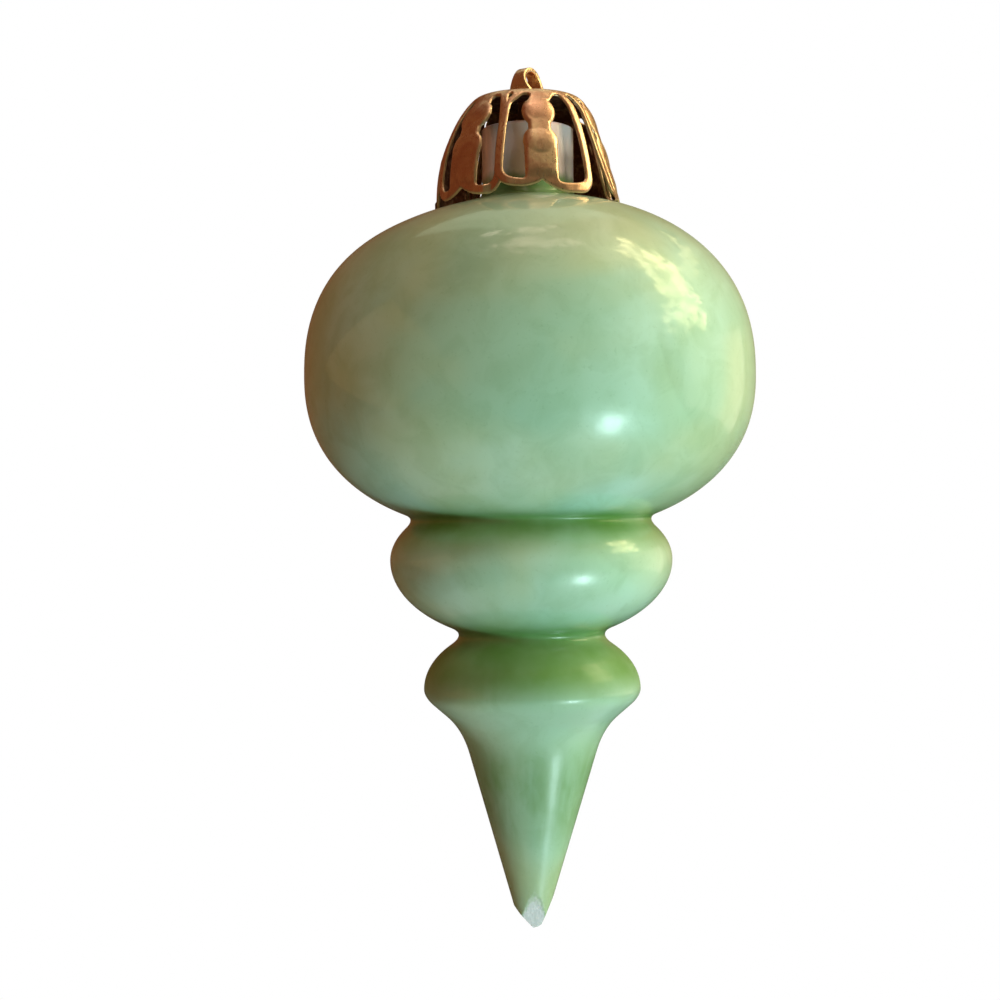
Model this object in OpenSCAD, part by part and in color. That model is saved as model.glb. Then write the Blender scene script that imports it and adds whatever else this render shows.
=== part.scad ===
// Finial tree ornament: a hollow moulded body, an openwork crown cap and a spring hanger.
// The origin is the centre of the hanger's eye, +Z is up and the eye's axis lies along Y. Millimetres.

/* [Bulb] */
// Diameter of the main bulb
bulb_d = 55; // [48:0.5:64]
// Height of the bulb's curve above its widest line
bulb_top_h = 21.8; // [19:0.1:26]
// Depth of the bulb's curve below its widest line
bulb_low_h = 19.3; // [17:0.1:23]
// Fullness of the bulb's curve, where 2 is an ellipse
bulb_fullness = 2.3; // [2:0.05:2.6]
// Wall of the moulded shell
wall = 1; // [0.7:0.05:1.3]

/* [Neck] */
// Outer diameter of the bare neck
neck_d = 11.2; // [10:0.1:12.4]
// Height of the neck's rim above the top of the bulb's curve
neck_h = 8.5; // [7:0.1:11]
// Wall of the neck
neck_wall = 1.1; // [0.8:0.05:1.4]
// Reach of the fillet between the neck and the shoulder
neck_fillet = 1.2; // [0.8:0.1:1.8]
// Rounding of the neck's rim
rim_round = 0.35; // [0.2:0.05:0.5]

/* [Beads] */
// Diameter at the bottom of the groove under the bulb
groove_d = 29.1; // [26:0.1:31]
// Opening of that groove
groove_open = 0.6; // [0.4:0.05:1]
// Reach of the blend in that groove
groove_blend = 0.75; // [0.5:0.05:1]
// Diameter of the round bead
bead_d = 34.5; // [33:0.1:38]
// Height of the bead's curve above its widest line
bead_top_h = 8.6; // [7.5:0.1:10]
// Depth of the bead's curve below its widest line
bead_low_h = 10.1; // [9:0.1:12]
// Diameter at the bottom of the groove under the bead
waist_d = 17.8; // [16:0.1:20]
// Opening of that groove
waist_open = 1.1; // [0.8:0.05:1.6]
// Reach of the blend in that groove
waist_blend = 1; // [0.6:0.05:1.4]
// Diameter of the ridge, the sharp bead above the cone
ridge_d = 26.5; // [24:0.1:29]
// Height of the ridge's curve above its widest line
ridge_top_h = 8.1; // [7:0.1:10]

/* [Cone] */
// How far the ridge's rounded lip turns in
lip_in = 1.15; // [0.8:0.05:1.5]
// Slope of the flank under the ridge, in degrees below level
flank_angle = 41; // [35:1:47]
// Length of the straight stretch of the flank
flank_l = 2.1; // [1:0.1:3]
// Diameter at the top of the cone
cone_d = 15.6; // [14:0.1:17]
// Drop from the ridge's widest line to the top of the cone
cone_drop = 7.8; // [7:0.1:9.5]
// Height of the cone from its top to the end of the tip
cone_h = 21.5; // [17:0.1:28]
// Diameter where the blunt tip starts
tip_d = 4.3; // [3.4:0.1:5.2]
// Height of the blunt tip
tip_h = 2.4; // [1.6:0.1:3.2]
// Height of solid plastic at the tip
tip_solid = 4.5; // [3.5:0.1:6]

/* [Crown] */
// Outer diameter of the bell at its rim
crown_d = 22.9; // [21.5:0.1:25]
// Diameter of the flat top plate
plate_d = 12; // [11:0.1:13]
// Thickness of the stamped sheet
sheet = 0.45; // [0.35:0.05:0.6]
// Free height between the neck's rim and the top plate
headroom = 3.2; // [2.4:0.1:4.5]
// Curvature of the bell, where 2 is an ellipse
bell_fullness = 1.55; // [1.4:0.05:1.9]
// Width of the gap between two petals at its top
slit_w = 0.4; // [0.3:0.05:0.6]
// Width of that gap between the lobes
gap_w = 0.85; // [0.6:0.05:1.2]
// Width of a petal's side straps
strap_w = 1.05; // [0.8:0.05:1.2]
// Width of the band below the windows
lobe_band = 1.15; // [0.9:0.05:1.4]
// Distance from a petal's centre line to the middle of its two lobes
lobe_x = 3.1; // [2.8:0.05:3.4]
// Depth of the notch between a petal's two lobes
notch_h = 1.1; // [0.8:0.1:1.5]
// Drop from the plate to the top of the windows
window_drop = 1.5; // [1.2:0.1:1.9]
// Rounding of the windows' lower ends beside the straps
window_round = 1.5; // [1.2:0.05:1.7]
// Width of the motif's foot
foot_w = 4.1; // [3.6:0.1:4.4]
// Width of the motif's neck
motif_neck_w = 2.8; // [2.2:0.1:3.2]
// Diameter of the motif's upper boss
upper_boss_d = 4.1; // [3.5:0.1:4.4]
// Drop from the plate to the centre of the upper boss
upper_boss_drop = 3.25; // [2.9:0.05:3.6]
// Diameter of the motif's lower boss
lower_boss_d = 4.3; // [4.1:0.1:4.6]
// Drop from the plate to the centre of the lower boss
lower_boss_drop = 7.2; // [6.8:0.05:7.6]
// Room between the crown's rim and the shoulder it rests on
seat_gap = 0.15; // [0.1:0.05:0.3]

/* [Hanger] */
// Inner diameter of the hook eye
eye_d = 2.8; // [2.4:0.1:3.6]
// Thickness of the strip
strip_t = 0.55; // [0.45:0.05:0.7]
// Width of the strip
strip_w = 1.9; // [1.4:0.1:2.2]
// Slit between the two pinched legs
pinch_gap = 0.1; // [0.06:0.02:0.16]
// Room around the pinched legs in the crown's hole
turn_gap = 0.08; // [0.04:0.01:0.1]
// Room between the eye and the top plate
eye_gap = 0.1; // [0.06:0.02:0.2]
// Room between the bowed legs and the neck's bore
leg_gap = 0.12; // [0.08:0.02:0.3]
// How far the legs reach below the bore
leg_reach = 4.5; // [3:0.1:6]
// Half the gap between the tips of the legs
leg_tip_x = 1.2; // [0.8:0.1:1.8]

/* [Hidden] */
$fn = 96;

// Petals of the crown, and the turn of the first one about the axis
petals = 6;
half_petal = 180 / petals;
first_petal_turn = 49;

// Exponents of the curves, and how far the bell's curve would run on below its rim
ellipse = 2;
tip_fullness = 1.5;
bell_stretch = 1.07;

// Points in an arc, in a bend and along the bell
arc_steps = 14;
bend_steps = 5;
bell_steps = 9;

// Small overlap of shapes that blend, flat at the bottom of a lobe, and how far a cut runs past a face
blend = 0.05;
lobe_flat = 0.15;
margin = 1;

// Sizes of the hanger, and the crown's hole and plate that follow from them
eye_r = eye_d / 2 + strip_t;
leg_x = pinch_gap / 2 + strip_t;
hole_r = norm([leg_x, strip_w / 2]) + turn_gap;
eye_seat_x = sqrt(hole_r * hole_r - strip_w * strip_w / 4);
plate_z = -sqrt(eye_r * eye_r - eye_seat_x * eye_seat_x) - eye_gap;
plate_r = plate_d / 2;
crown_r = crown_d / 2;

// Levels of the body, from the rim down
bulb_r = bulb_d / 2;
neck_r = neck_d / 2;
bore_r = neck_r - neck_wall;
rim_z = plate_z - sheet - headroom;
bulb_z = rim_z - neck_h - bulb_top_h;
groove_r = groove_d / 2;
bead_r = bead_d / 2;
bead_z = bulb_z - oval_h(groove_r, bulb_r, bulb_low_h, bulb_fullness) - groove_open
    - oval_h(groove_r, bead_r, bead_top_h, ellipse);
waist_r = waist_d / 2;
ridge_r = ridge_d / 2;
ridge_z = bead_z - oval_h(waist_r, bead_r, bead_low_h, ellipse) - waist_open
    - oval_h(waist_r, ridge_r, ridge_top_h, ellipse);
cone_r = cone_d / 2;
cone_z = ridge_z - cone_drop;
end_z = cone_z - cone_h;
tip_r = tip_d / 2;
tip_z = end_z + tip_h;
cone_slope = (cone_r - tip_r) / (cone_z - tip_z);
cone_lean = atan(cone_slope);
bore_end_z = bulb_z + oval_h(bore_r, bulb_r - wall, bulb_top_h - wall, bulb_fullness);

// The crown stands on the shoulder
rim_in = crown_r - sheet;
crown_z = bulb_z + oval_h(rim_in, bulb_r, bulb_top_h, bulb_fullness) + seat_gap;
crown_h = plate_z - crown_z;
upper_boss_z = plate_z - upper_boss_drop;
lower_boss_z = plate_z - lower_boss_drop;
sill_z = crown_z + lobe_band;
window_z = sill_z + window_round;
notch_r = (lobe_x * lobe_x + notch_h * notch_h) / (2 * notch_h);
gap_lobe_x = crown_r * sin(half_petal - asin(lobe_x / crown_r));
gap_lobe_r = gap_lobe_x - gap_w / 2 + blend;
gap_top_z = plate_z - window_drop;
strap_inset = strap_w * cos(half_petal);

// Height of an oval's curve at radius r: half-width a, height b, fullness n
function oval_h(r, a, b, n) = b * pow(1 - pow(r / a, n), 1 / n);

// Point of an oval above (side 1) or below (side -1) the level z, at angle t from its widest line
function oval_point(t, a, b, n, z, side) =
    [a * pow(cos(t), 2 / n), z + side * b * pow(sin(t), 2 / n)];

// Angle at which an oval has the radius r
function oval_angle(r, a, n) = acos(pow(r / a, n / 2));

// Arc of an oval between two radii
function oval_arc(r0, r1, a, b, n, z, side) =
    let (t0 = oval_angle(r0, a, n), t1 = oval_angle(r1, a, n))
    [for (i = [0:arc_steps]) oval_point(t0 + (t1 - t0) * i / arc_steps, a, b, n, z, side)];

function last(path) = path[len(path) - 1];
function backwards(path) = [for (i = [len(path) - 1:-1:0]) path[i]];
function end_run(path) = last(path) - path[len(path) - 2];
function start_run(path) = path[1] - path[0];

// Point where the line from p along u meets the line from q along v
function crossing(p, u, q, v) =
    p + u * ((q[0] - p[0]) * v[1] - (q[1] - p[1]) * v[0]) / (u[0] * v[1] - u[1] * v[0]);

// Bend from p, leaving along u, to q, arriving along v, without its two end points
function bend(p, u, q, v) =
    let (c = crossing(p, u, q, v))
    [for (i = [1:bend_steps - 1]) let (s = i / bend_steps)
        p * (1 - s) * (1 - s) + c * 2 * s * (1 - s) + q * s * s];

// Two stretches of an outline joined by a bend
function joined(a, b) = concat(a, bend(last(a), end_run(a), b[0], start_run(b)), b);

// Outline of the beads and the ridge, inset by w from the outer surface
function bead_arc(w) =
    oval_arc(groove_r - w + groove_blend, bead_r - w, bead_r - w, bead_top_h - w, ellipse, bead_z, 1);
function bead_under(w) =
    oval_arc(bead_r - w, waist_r - w + waist_blend, bead_r - w, bead_low_h - w, ellipse, bead_z, -1);
function ridge_arc(w) =
    oval_arc(waist_r - w + waist_blend, ridge_r - w, ridge_r - w, ridge_top_h - w, ellipse, ridge_z, 1);

// Straight flank under the ridge, the ridge's lip and the straight side of the cone, inset by w
function flank(w) =
    let (run = [-cos(flank_angle), -sin(flank_angle)],
        start = [ridge_r - lip_in, ridge_z - lip_in * (1 + sin(flank_angle))]
            - w * [sin(flank_angle), -cos(flank_angle)])
    [start, start + flank_l * run];
function lip(w) = bend([ridge_r - w, ridge_z], [0, -1], flank(w)[0], start_run(flank(w)));
function cone_point(z, w) = [tip_r + (z - tip_z) * cone_slope - w / cos(cone_lean), z];
function cone_side(w, low_z) = [cone_point(cone_z, w), cone_point(low_z, w)];

// Upper curve of the bulb from radius r0, and its lower curve down to the groove, inset by w
function bulb_over(w, r0) =
    oval_arc(r0, bulb_r - w, bulb_r - w, bulb_top_h - w, bulb_fullness, bulb_z, 1);
function bulb_under(w) =
    oval_arc(bulb_r - w, groove_r - w + groove_blend, bulb_r - w, bulb_low_h - w, bulb_fullness, bulb_z, -1);

// Outline of the body from the bulb's top curve, starting at radius r0, down to the cone's low end
function skin(w, r0, low_z) =
    let (bulb = concat(bulb_over(w, r0), bulb_under(w)),
        bead = concat(bead_arc(w), bead_under(w)),
        ridge = concat(ridge_arc(w), lip(w), flank(w)))
    joined(joined(joined(bulb, bead), ridge), cone_side(w, low_z));

// Neck outside, from the rim to the fillet
neck_side = concat(
    [[bore_r, rim_z], [neck_r - rim_round, rim_z]],
    bend([neck_r - rim_round, rim_z], [1, 0], [neck_r, rim_z - rim_round], [0, -1]),
    [[neck_r, rim_z - rim_round], [neck_r, bulb_z + bulb_top_h + neck_fillet]]);
tip_curve = [for (i = [1:bend_steps])
    oval_point(oval_angle(0, tip_r, tip_fullness) * i / bend_steps, tip_r, tip_h, tip_fullness, tip_z, -1)];
outside = concat(joined(neck_side, skin(0, neck_r + neck_fillet, tip_z)), tip_curve);
inside = concat(skin(wall, bore_r, end_z + tip_solid), [[0, end_z + tip_solid]]);

// Bell of the crown: outer radius at a drop h below the plate
function bell_r(h) =
    let (share = max(0, 1 - h / (crown_h * bell_stretch)))
    plate_r + (crown_r - plate_r) * pow(1 - pow(share, bell_fullness), 1 / bell_fullness);

// Half-width of the gap between two petals at a drop h below the plate
function half_gap(h) =
    (slit_w + (gap_w - slit_w) * (h - window_drop) / (gap_top_z - window_z)) / 2;

// Half-width of a petal at a drop h below the plate, seen along its own radius
function petal_edge(h) = bell_r(h) * sin(half_petal - asin(half_gap(h) / bell_r(h)));

// Drops that put the bell's points closer together at the tight shoulder
bell_drops = [for (i = [0:bell_steps]) crown_h * pow(i / bell_steps, 2)];

// Right edge of a petal's windows, down along the strap and round the lower end to the sill
strap_edge = [for (i = [0:bend_steps])
    let (h = window_drop + (plate_z - window_z - window_drop) * i / bend_steps)
    [petal_edge(h) - strap_inset, plate_z - h]];
sill_end = [last(strap_edge)[0] - window_round, sill_z];
window_edge = concat(strap_edge, bend(last(strap_edge), [0, -1], sill_end, [-1, 0]), [sill_end]);

// One leg of the hanger as a centre line, bowed against the bore and drawn in at the tip
leg_top_z = plate_z - sheet;
leg_bow_z = (rim_z + bore_end_z) / 2;
leg_end_z = bore_end_z - leg_reach;
leg_line_x = leg_x - strip_t / 2;
leg_bow_x = sqrt(pow(bore_r - leg_gap, 2) - strip_w * strip_w / 4) - strip_t / 2;
function sway(a, b, s) = a + (b - a) * (1 - cos(180 * s)) / 2;
leg_line = concat(
    [[leg_line_x, -eye_d / 2], [leg_line_x, leg_top_z]],
    [for (i = [1:arc_steps]) let (s = i / arc_steps)
        [sway(leg_line_x, leg_bow_x, s), leg_top_z + (leg_bow_z - leg_top_z) * s]],
    [for (i = [1:arc_steps]) let (s = i / arc_steps)
        [sway(leg_bow_x, leg_tip_x + strip_t / 2, s), leg_bow_z + (leg_end_z - leg_bow_z) * s]]);

// Unit normal of a path at point i
function normal(path, i) =
    let (run = path[min(i + 1, len(path) - 1)] - path[max(i - 1, 0)])
    [-run[1], run[0]] / norm(run);

// Outline of a strip of thickness t along a centre line
function strip_outline(path, t) = concat(
    [for (i = [0:len(path) - 1]) path[i] - normal(path, i) * t / 2],
    backwards([for (i = [0:len(path) - 1]) path[i] + normal(path, i) * t / 2]));

// Hollow body in one moulding, open at the neck and solid at the tip
module body_shell() {
    color([0.60, 0.75, 0.60])
        rotate_extrude()
            polygon(concat(inside, backwards(outside)));
}

// Pressed sheet of the crown before it is pierced
module bell() {
    outer = [for (h = bell_drops) [bell_r(h), plate_z - h]];
    inner = [for (i = [1:len(outer) - 2]) outer[i] - normal(outer, i) * sheet];
    under = [[0, plate_z - sheet], [plate_r - sheet / 2, plate_z - sheet]];
    rim = [[last(outer)[0] - sheet, crown_z]];
    rotate_extrude()
        polygon(concat(under, inner, rim, backwards(outer), [[0, plate_z]]));
}

// Figure-of-eight motif of a petal, with its neck and foot
module motif() {
    translate([0, upper_boss_z])
        circle(d = upper_boss_d);
    translate([0, lower_boss_z])
        circle(d = lower_boss_d);
    translate([-motif_neck_w / 2, lower_boss_z])
        square([motif_neck_w, lower_boss_drop]);
    translate([-foot_w / 2, crown_z])
        square([foot_w, lower_boss_z - crown_z]);
}

// The two windows of a petal, around its motif
module windows() {
    difference() {
        polygon(concat([for (p = window_edge) [-p[0], p[1]]], backwards(window_edge)));
        motif();
    }
}

// What is cut away below two lobes of radius r, whose centres lie x to either side
module under_lobes(x, r) {
    difference() {
        translate([-x, crown_z - margin])
            square([2 * x, r + margin - lobe_flat]);
        for (side = [-1, 1])
            translate([side * x, crown_z + r - lobe_flat])
                circle(r);
    }
}

// Gap between two petals, opening downwards between their lobes
module petal_gap() {
    polygon([
        [-slit_w / 2, gap_top_z], [-gap_w / 2, window_z],
        [gap_w / 2, window_z], [slit_w / 2, gap_top_z]]);
    under_lobes(gap_lobe_x, gap_lobe_r);
}

// Cuts a drawing through the crown's wall, seen along the radius at an angle
module pierce(angle) {
    rotate(angle)
        rotate([90, 0, 90])
            translate([0, 0, plate_r / 2])
                linear_extrude(crown_r)
                    children();
}

// Openwork crown cap with a ring of petals under a pierced plate
module crown_cap() {
    color([0.78, 0.58, 0.40])
        difference() {
            bell();
            for (i = [0:petals - 1]) {
                pierce(first_petal_turn + i * 2 * half_petal)
                    windows();
                pierce(first_petal_turn + i * 2 * half_petal)
                    under_lobes(lobe_x, notch_r);
                pierce(first_petal_turn + (2 * i + 1) * half_petal)
                    petal_gap();
            }
            translate([0, 0, plate_z - sheet - margin])
                cylinder(h = sheet + 2 * margin, r = hole_r);
        }
}

// Spring hanger: a flat strip bent into an eye, pinched, and bowed into two legs
module spring_hanger() {
    color([0.74, 0.55, 0.36])
        rotate([90, 0, 0])
            linear_extrude(strip_w, center = true)
                difference() {
                    union() {
                        circle(eye_r);
                        for (side = [-1, 1])
                            polygon(strip_outline([for (p = leg_line) [side * p[0], p[1]]], strip_t));
                    }
                    circle(d = eye_d);
                    translate([-pinch_gap / 2, leg_top_z])
                        square([pinch_gap, -leg_top_z]);
                }
}

body_shell();
crown_cap();
spring_hanger();
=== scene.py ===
"""Dresses the finial ornament: a lacquered body, an openwork crown cap and a spring hanger.

Sizes in the classes are in millimetres, and every mesh, lamp and camera is in metres, in the part's
own frame: the origin is the centre of the hanger's eye, +Z is up, and ring angles turn about the axis
from +X towards +Y.
"""

import logging
import math
from dataclasses import dataclass, field
from enum import Enum
from typing import Optional, Union

import bpy
import numpy as np
from mathutils import Matrix, Vector, noise


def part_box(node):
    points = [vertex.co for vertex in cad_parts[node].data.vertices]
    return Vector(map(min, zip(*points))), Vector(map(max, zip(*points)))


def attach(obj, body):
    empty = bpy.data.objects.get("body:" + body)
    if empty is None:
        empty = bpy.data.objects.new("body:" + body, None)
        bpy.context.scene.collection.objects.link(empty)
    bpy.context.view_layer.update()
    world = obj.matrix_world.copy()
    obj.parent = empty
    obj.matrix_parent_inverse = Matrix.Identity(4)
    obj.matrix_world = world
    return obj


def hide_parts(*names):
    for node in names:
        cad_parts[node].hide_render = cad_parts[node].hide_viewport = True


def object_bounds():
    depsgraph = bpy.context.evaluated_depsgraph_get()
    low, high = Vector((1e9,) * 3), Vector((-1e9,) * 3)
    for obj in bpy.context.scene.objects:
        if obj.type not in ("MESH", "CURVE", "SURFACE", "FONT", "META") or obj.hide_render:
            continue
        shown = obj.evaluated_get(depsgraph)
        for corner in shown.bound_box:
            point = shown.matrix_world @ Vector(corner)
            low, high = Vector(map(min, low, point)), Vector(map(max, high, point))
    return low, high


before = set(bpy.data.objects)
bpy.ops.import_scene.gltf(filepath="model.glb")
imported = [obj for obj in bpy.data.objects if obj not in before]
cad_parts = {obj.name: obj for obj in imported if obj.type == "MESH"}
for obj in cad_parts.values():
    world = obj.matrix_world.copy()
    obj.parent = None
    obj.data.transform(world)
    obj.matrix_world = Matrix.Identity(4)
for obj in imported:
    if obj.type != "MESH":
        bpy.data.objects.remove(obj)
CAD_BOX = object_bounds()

LOG = logging.getLogger("finial")
MM = 0.001
FULL_TURN = 2 * math.pi

Colour = tuple[float, float, float, float]
Face = tuple[int, ...]
Span = tuple[float, float]
Socket = bpy.types.NodeSocket
Feed = Union[Socket, float, Colour, tuple[float, float, float]]


class BodyName(Enum):
    """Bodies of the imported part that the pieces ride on."""

    HANGER = "hanger"
    CROWN = "crown"
    BODY = "body"


class SlotName(Enum):
    """Material slots of the record."""

    BODY = "lacquered_body"
    CROWN = "crown_metal"
    HANGER = "hanger_metal"


class Half(Enum):
    """Upper or lower half of an oval, as the sign of its height."""

    UPPER = 1
    LOWER = -1


class Arithmetic(Enum):
    """Ways in which a node combines two values."""

    PLUS = "ADD"
    TIMES = "MULTIPLY"
    LARGER = "MAXIMUM"


def srgb(red: int, green: int, blue: int) -> Colour:
    """Turns a colour as seen on a screen into the linear colour that a shader takes.

    Args:
        red: Red from 0 to 255.
        green: Green from 0 to 255.
        blue: Blue from 0 to 255.

    Returns:
        The linear colour with an alpha of 1.
    """
    def linear(level: int) -> float:
        """Linear value of one channel."""
        share = level / 255
        return share / 12.92 if share <= 0.04045 else ((share + 0.055) / 1.055) ** 2.4

    return (linear(red), linear(green), linear(blue), 1.0)


def smooth_step(value: np.ndarray, low: float, high: float) -> np.ndarray:
    """Rises smoothly from 0 at low to 1 at high.

    Args:
        value: Values to look up.
        low: Value at which the rise starts.
        high: Value at which the rise ends.

    Returns:
        Shares from 0 to 1.
    """
    share = np.clip((value - low) / (high - low), 0, 1)
    return share * share * (3 - 2 * share)


def hump(value: np.ndarray, rise: Span, fall: Span, rest: float = 0.0) -> np.ndarray:
    """Rises smoothly from 0 to 1 and falls again.

    Args:
        value: Values to look up.
        rise: Values at which the rise starts and ends.
        fall: Values at which the fall starts and ends.
        rest: Share that is left after the fall.

    Returns:
        Shares from 0 to 1.
    """
    return smooth_step(value, *rise) * (1 - (1 - rest) * smooth_step(value, *fall))


def grid_faces(rows: int, columns: int, closed: bool, flipped: bool = False, first: int = 0) -> list[Face]:
    """Joins the points of a grid, numbered row by row, into faces.

    Args:
        rows: Number of rows.
        columns: Points in a row.
        closed: Whether a row's last point joins its first.
        flipped: Whether the faces turn the other way round.
        first: Number of the grid's first point.

    Returns:
        The faces.
    """
    faces: list[Face] = []
    for row in range(rows - 1):
        here, below = first + row * columns, first + (row + 1) * columns
        for i in range(columns if closed else columns - 1):
            j = (i + 1) % columns
            if flipped:
                faces.append((here + i, below + i, below + j, here + j))
            else:
                faces.append((here + i, here + j, below + j, below + i))
    return faces


@dataclass
class MeshDraft:
    """A mesh in the making, in millimetres.

    Attributes:
        points: Corners, one row each.
        faces: Corner numbers of each face.
        marks: Named values per corner that the finishes read.
    """

    points: np.ndarray
    faces: list[Face]
    marks: dict[str, np.ndarray] = field(default_factory=dict)

    def to_object(self, name: str) -> bpy.types.Object:
        """Makes the mesh object, smooth shaded and in metres.

        Args:
            name: Name of the piece.

        Returns:
            The object, linked to the scene.
        """
        mesh = bpy.data.meshes.new(name)
        mesh.from_pydata((self.points * MM).tolist(), [], self.faces)
        for mark, values in self.marks.items():
            layer = mesh.attributes.new(mark, "FLOAT", "POINT")
            layer.data.foreach_set("value", values.astype(np.float32))
        mesh.validate()
        mesh.polygons.foreach_set("use_smooth", [True] * len(mesh.polygons))
        piece = bpy.data.objects.new(name, mesh)
        bpy.context.scene.collection.objects.link(piece)
        return piece


class Graph:
    """A node tree with short methods for the nodes that the finishes use."""

    # Places of the mix node's share and colours among the sockets of all its data types
    COLOUR_INPUTS = (0, 6, 7)
    COLOUR_OUTPUT = 2

    def __init__(self, tree: bpy.types.NodeTree) -> None:
        """Empties the tree.

        Args:
            tree: Node tree of a material or of the world.
        """
        self.tree = tree
        tree.nodes.clear()

    def node(self, kind: str, **settings: object) -> bpy.types.Node:
        """Adds a node.

        Args:
            kind: Blender's name of the node's type.
            **settings: Properties of the node.

        Returns:
            The node.
        """
        node = self.tree.nodes.new(kind)
        for key, value in settings.items():
            setattr(node, key, value)
        return node

    def feed(self, socket: Socket, value: Feed) -> None:
        """Links a socket to its source, or sets its constant value.

        Args:
            socket: Input socket.
            value: Output socket or constant.
        """
        if isinstance(value, Socket):
            self.tree.links.new(value, socket)
        else:
            socket.default_value = value

    def place(self) -> Socket:
        """Gives the point's place on its own piece, in metres."""
        return self.node("ShaderNodeTexCoord").outputs["Object"]

    def height(self) -> Socket:
        """Gives the point's level in the part's frame, in metres."""
        split = self.node("ShaderNodeSeparateXYZ")
        self.feed(split.inputs[0], self.place())
        return split.outputs["Z"]

    def mark(self, name: str) -> Socket:
        """Reads a value that the mesh carries.

        Args:
            name: Name of the mark.

        Returns:
            The value's socket.
        """
        return self.node("ShaderNodeAttribute", attribute_name=name).outputs["Fac"]

    def clouds(self, grain: float, detail: float = 3.0, rough: float = 0.5, swirl: float = 0.0,
               stretch: tuple[float, float, float] = (1.0, 1.0, 1.0), shift: float = 0.0) -> Socket:
        """Adds cloudy noise.

        Args:
            grain: Size of a cloud in millimetres.
            detail: Octaves of finer noise.
            rough: Weight of the finer noise.
            swirl: How far the clouds are distorted.
            stretch: Frequency along each axis, where less than 1 lengthens the clouds.
            shift: Moves the pattern, so that two layers differ.

        Returns:
            Values from 0 to 1, mostly near 0.5.
        """
        mapping = self.node("ShaderNodeMapping")
        self.feed(mapping.inputs["Vector"], self.place())
        mapping.inputs["Scale"].default_value = stretch
        mapping.inputs["Location"].default_value = (shift, shift, shift)
        texture = self.node("ShaderNodeTexNoise")
        self.feed(texture.inputs["Vector"], mapping.outputs[0])
        texture.inputs["Scale"].default_value = 1 / (grain * MM)
        texture.inputs["Detail"].default_value = detail
        texture.inputs["Roughness"].default_value = rough
        texture.inputs["Distortion"].default_value = swirl
        return texture.outputs[0]

    def ramp(self, value: Feed, low: float, high: float, to_low: float = 0.0,
             to_high: float = 1.0) -> Socket:
        """Maps a value smoothly from one range to another.

        Args:
            value: Value to map.
            low: Start of the value's range.
            high: End of the value's range.
            to_low: Result at the start.
            to_high: Result at the end.

        Returns:
            The mapped value's socket.
        """
        ramp = self.node("ShaderNodeMapRange", interpolation_type="SMOOTHSTEP")
        for key, part in zip(("Value", "From Min", "From Max", "To Min", "To Max"),
                             (value, low, high, to_low, to_high)):
            self.feed(ramp.inputs[key], part)
        return ramp.outputs[0]

    def combine(self, way: Arithmetic, first: Feed, second: Feed) -> Socket:
        """Combines two values.

        Args:
            way: How they are combined.
            first: First value.
            second: Second value.

        Returns:
            The result's socket.
        """
        node = self.node("ShaderNodeMath", operation=way.value)
        self.feed(node.inputs[0], first)
        self.feed(node.inputs[1], second)
        return node.outputs[0]

    def plus(self, first: Feed, second: Feed) -> Socket:
        """Adds two values."""
        return self.combine(Arithmetic.PLUS, first, second)

    def times(self, first: Feed, second: Feed) -> Socket:
        """Multiplies two values."""
        return self.combine(Arithmetic.TIMES, first, second)

    def larger(self, first: Feed, second: Feed) -> Socket:
        """Takes the larger of two values."""
        return self.combine(Arithmetic.LARGER, first, second)

    def mix(self, share: Feed, first: Feed, second: Feed) -> Socket:
        """Mixes two colours.

        Args:
            share: Share of the second colour.
            first: First colour.
            second: Second colour.

        Returns:
            The mixed colour's socket.
        """
        node = self.node("ShaderNodeMix", data_type="RGBA")
        for place, value in zip(self.COLOUR_INPUTS, (share, first, second)):
            self.feed(node.inputs[place], value)
        return node.outputs[self.COLOUR_OUTPUT]

    def bump(self, height: Feed, depth: float) -> Socket:
        """Turns a height into a bumped normal.

        Args:
            height: Height from 0 to 1.
            depth: Depth of the relief in millimetres.

        Returns:
            The normal's socket.
        """
        node = self.node("ShaderNodeBump")
        self.feed(node.inputs["Height"], height)
        node.inputs["Distance"].default_value = depth * MM
        node.inputs["Strength"].default_value = 1.0
        return node.outputs[0]

    def blend(self, share: Socket, first: Socket, second: Socket) -> Socket:
        """Blends two shaders.

        Args:
            share: Share of the second shader.
            first: First shader.
            second: Second shader.

        Returns:
            The blended shader's socket.
        """
        node = self.node("ShaderNodeMixShader")
        for place, value in enumerate((share, first, second)):
            self.feed(node.inputs[place], value)
        return node.outputs[0]

    def end(self, shader: Socket, output: str = "ShaderNodeOutputMaterial") -> None:
        """Links a shader to the tree's output.

        Args:
            shader: The shader's socket.
            output: Blender's name of the output's type.
        """
        self.feed(self.node(output).inputs["Surface"], shader)

    def surface(self, **inputs: Feed) -> None:
        """Ends the tree with a principled shader.

        Args:
            **inputs: The shader's inputs, with underscores for the spaces in their names.
        """
        shader = self.node("ShaderNodeBsdfPrincipled")
        for key, value in inputs.items():
            self.feed(shader.inputs[key.replace("_", " ")], value)
        self.end(shader.outputs[0])


@dataclass(frozen=True)
class Finish:
    """A surface finish.

    Attributes:
        name: Name of the finish and of its material.
    """

    name: str

    def material(self) -> bpy.types.Material:
        """Makes the finish's material."""
        material = bpy.data.materials.new(self.name)
        material.use_nodes = True
        self.draw(Graph(material.node_tree))
        return material

    def draw(self, graph: Graph) -> None:
        """Draws the finish's nodes.

        Args:
            graph: The material's empty node tree.
        """
        raise NotImplementedError


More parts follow.
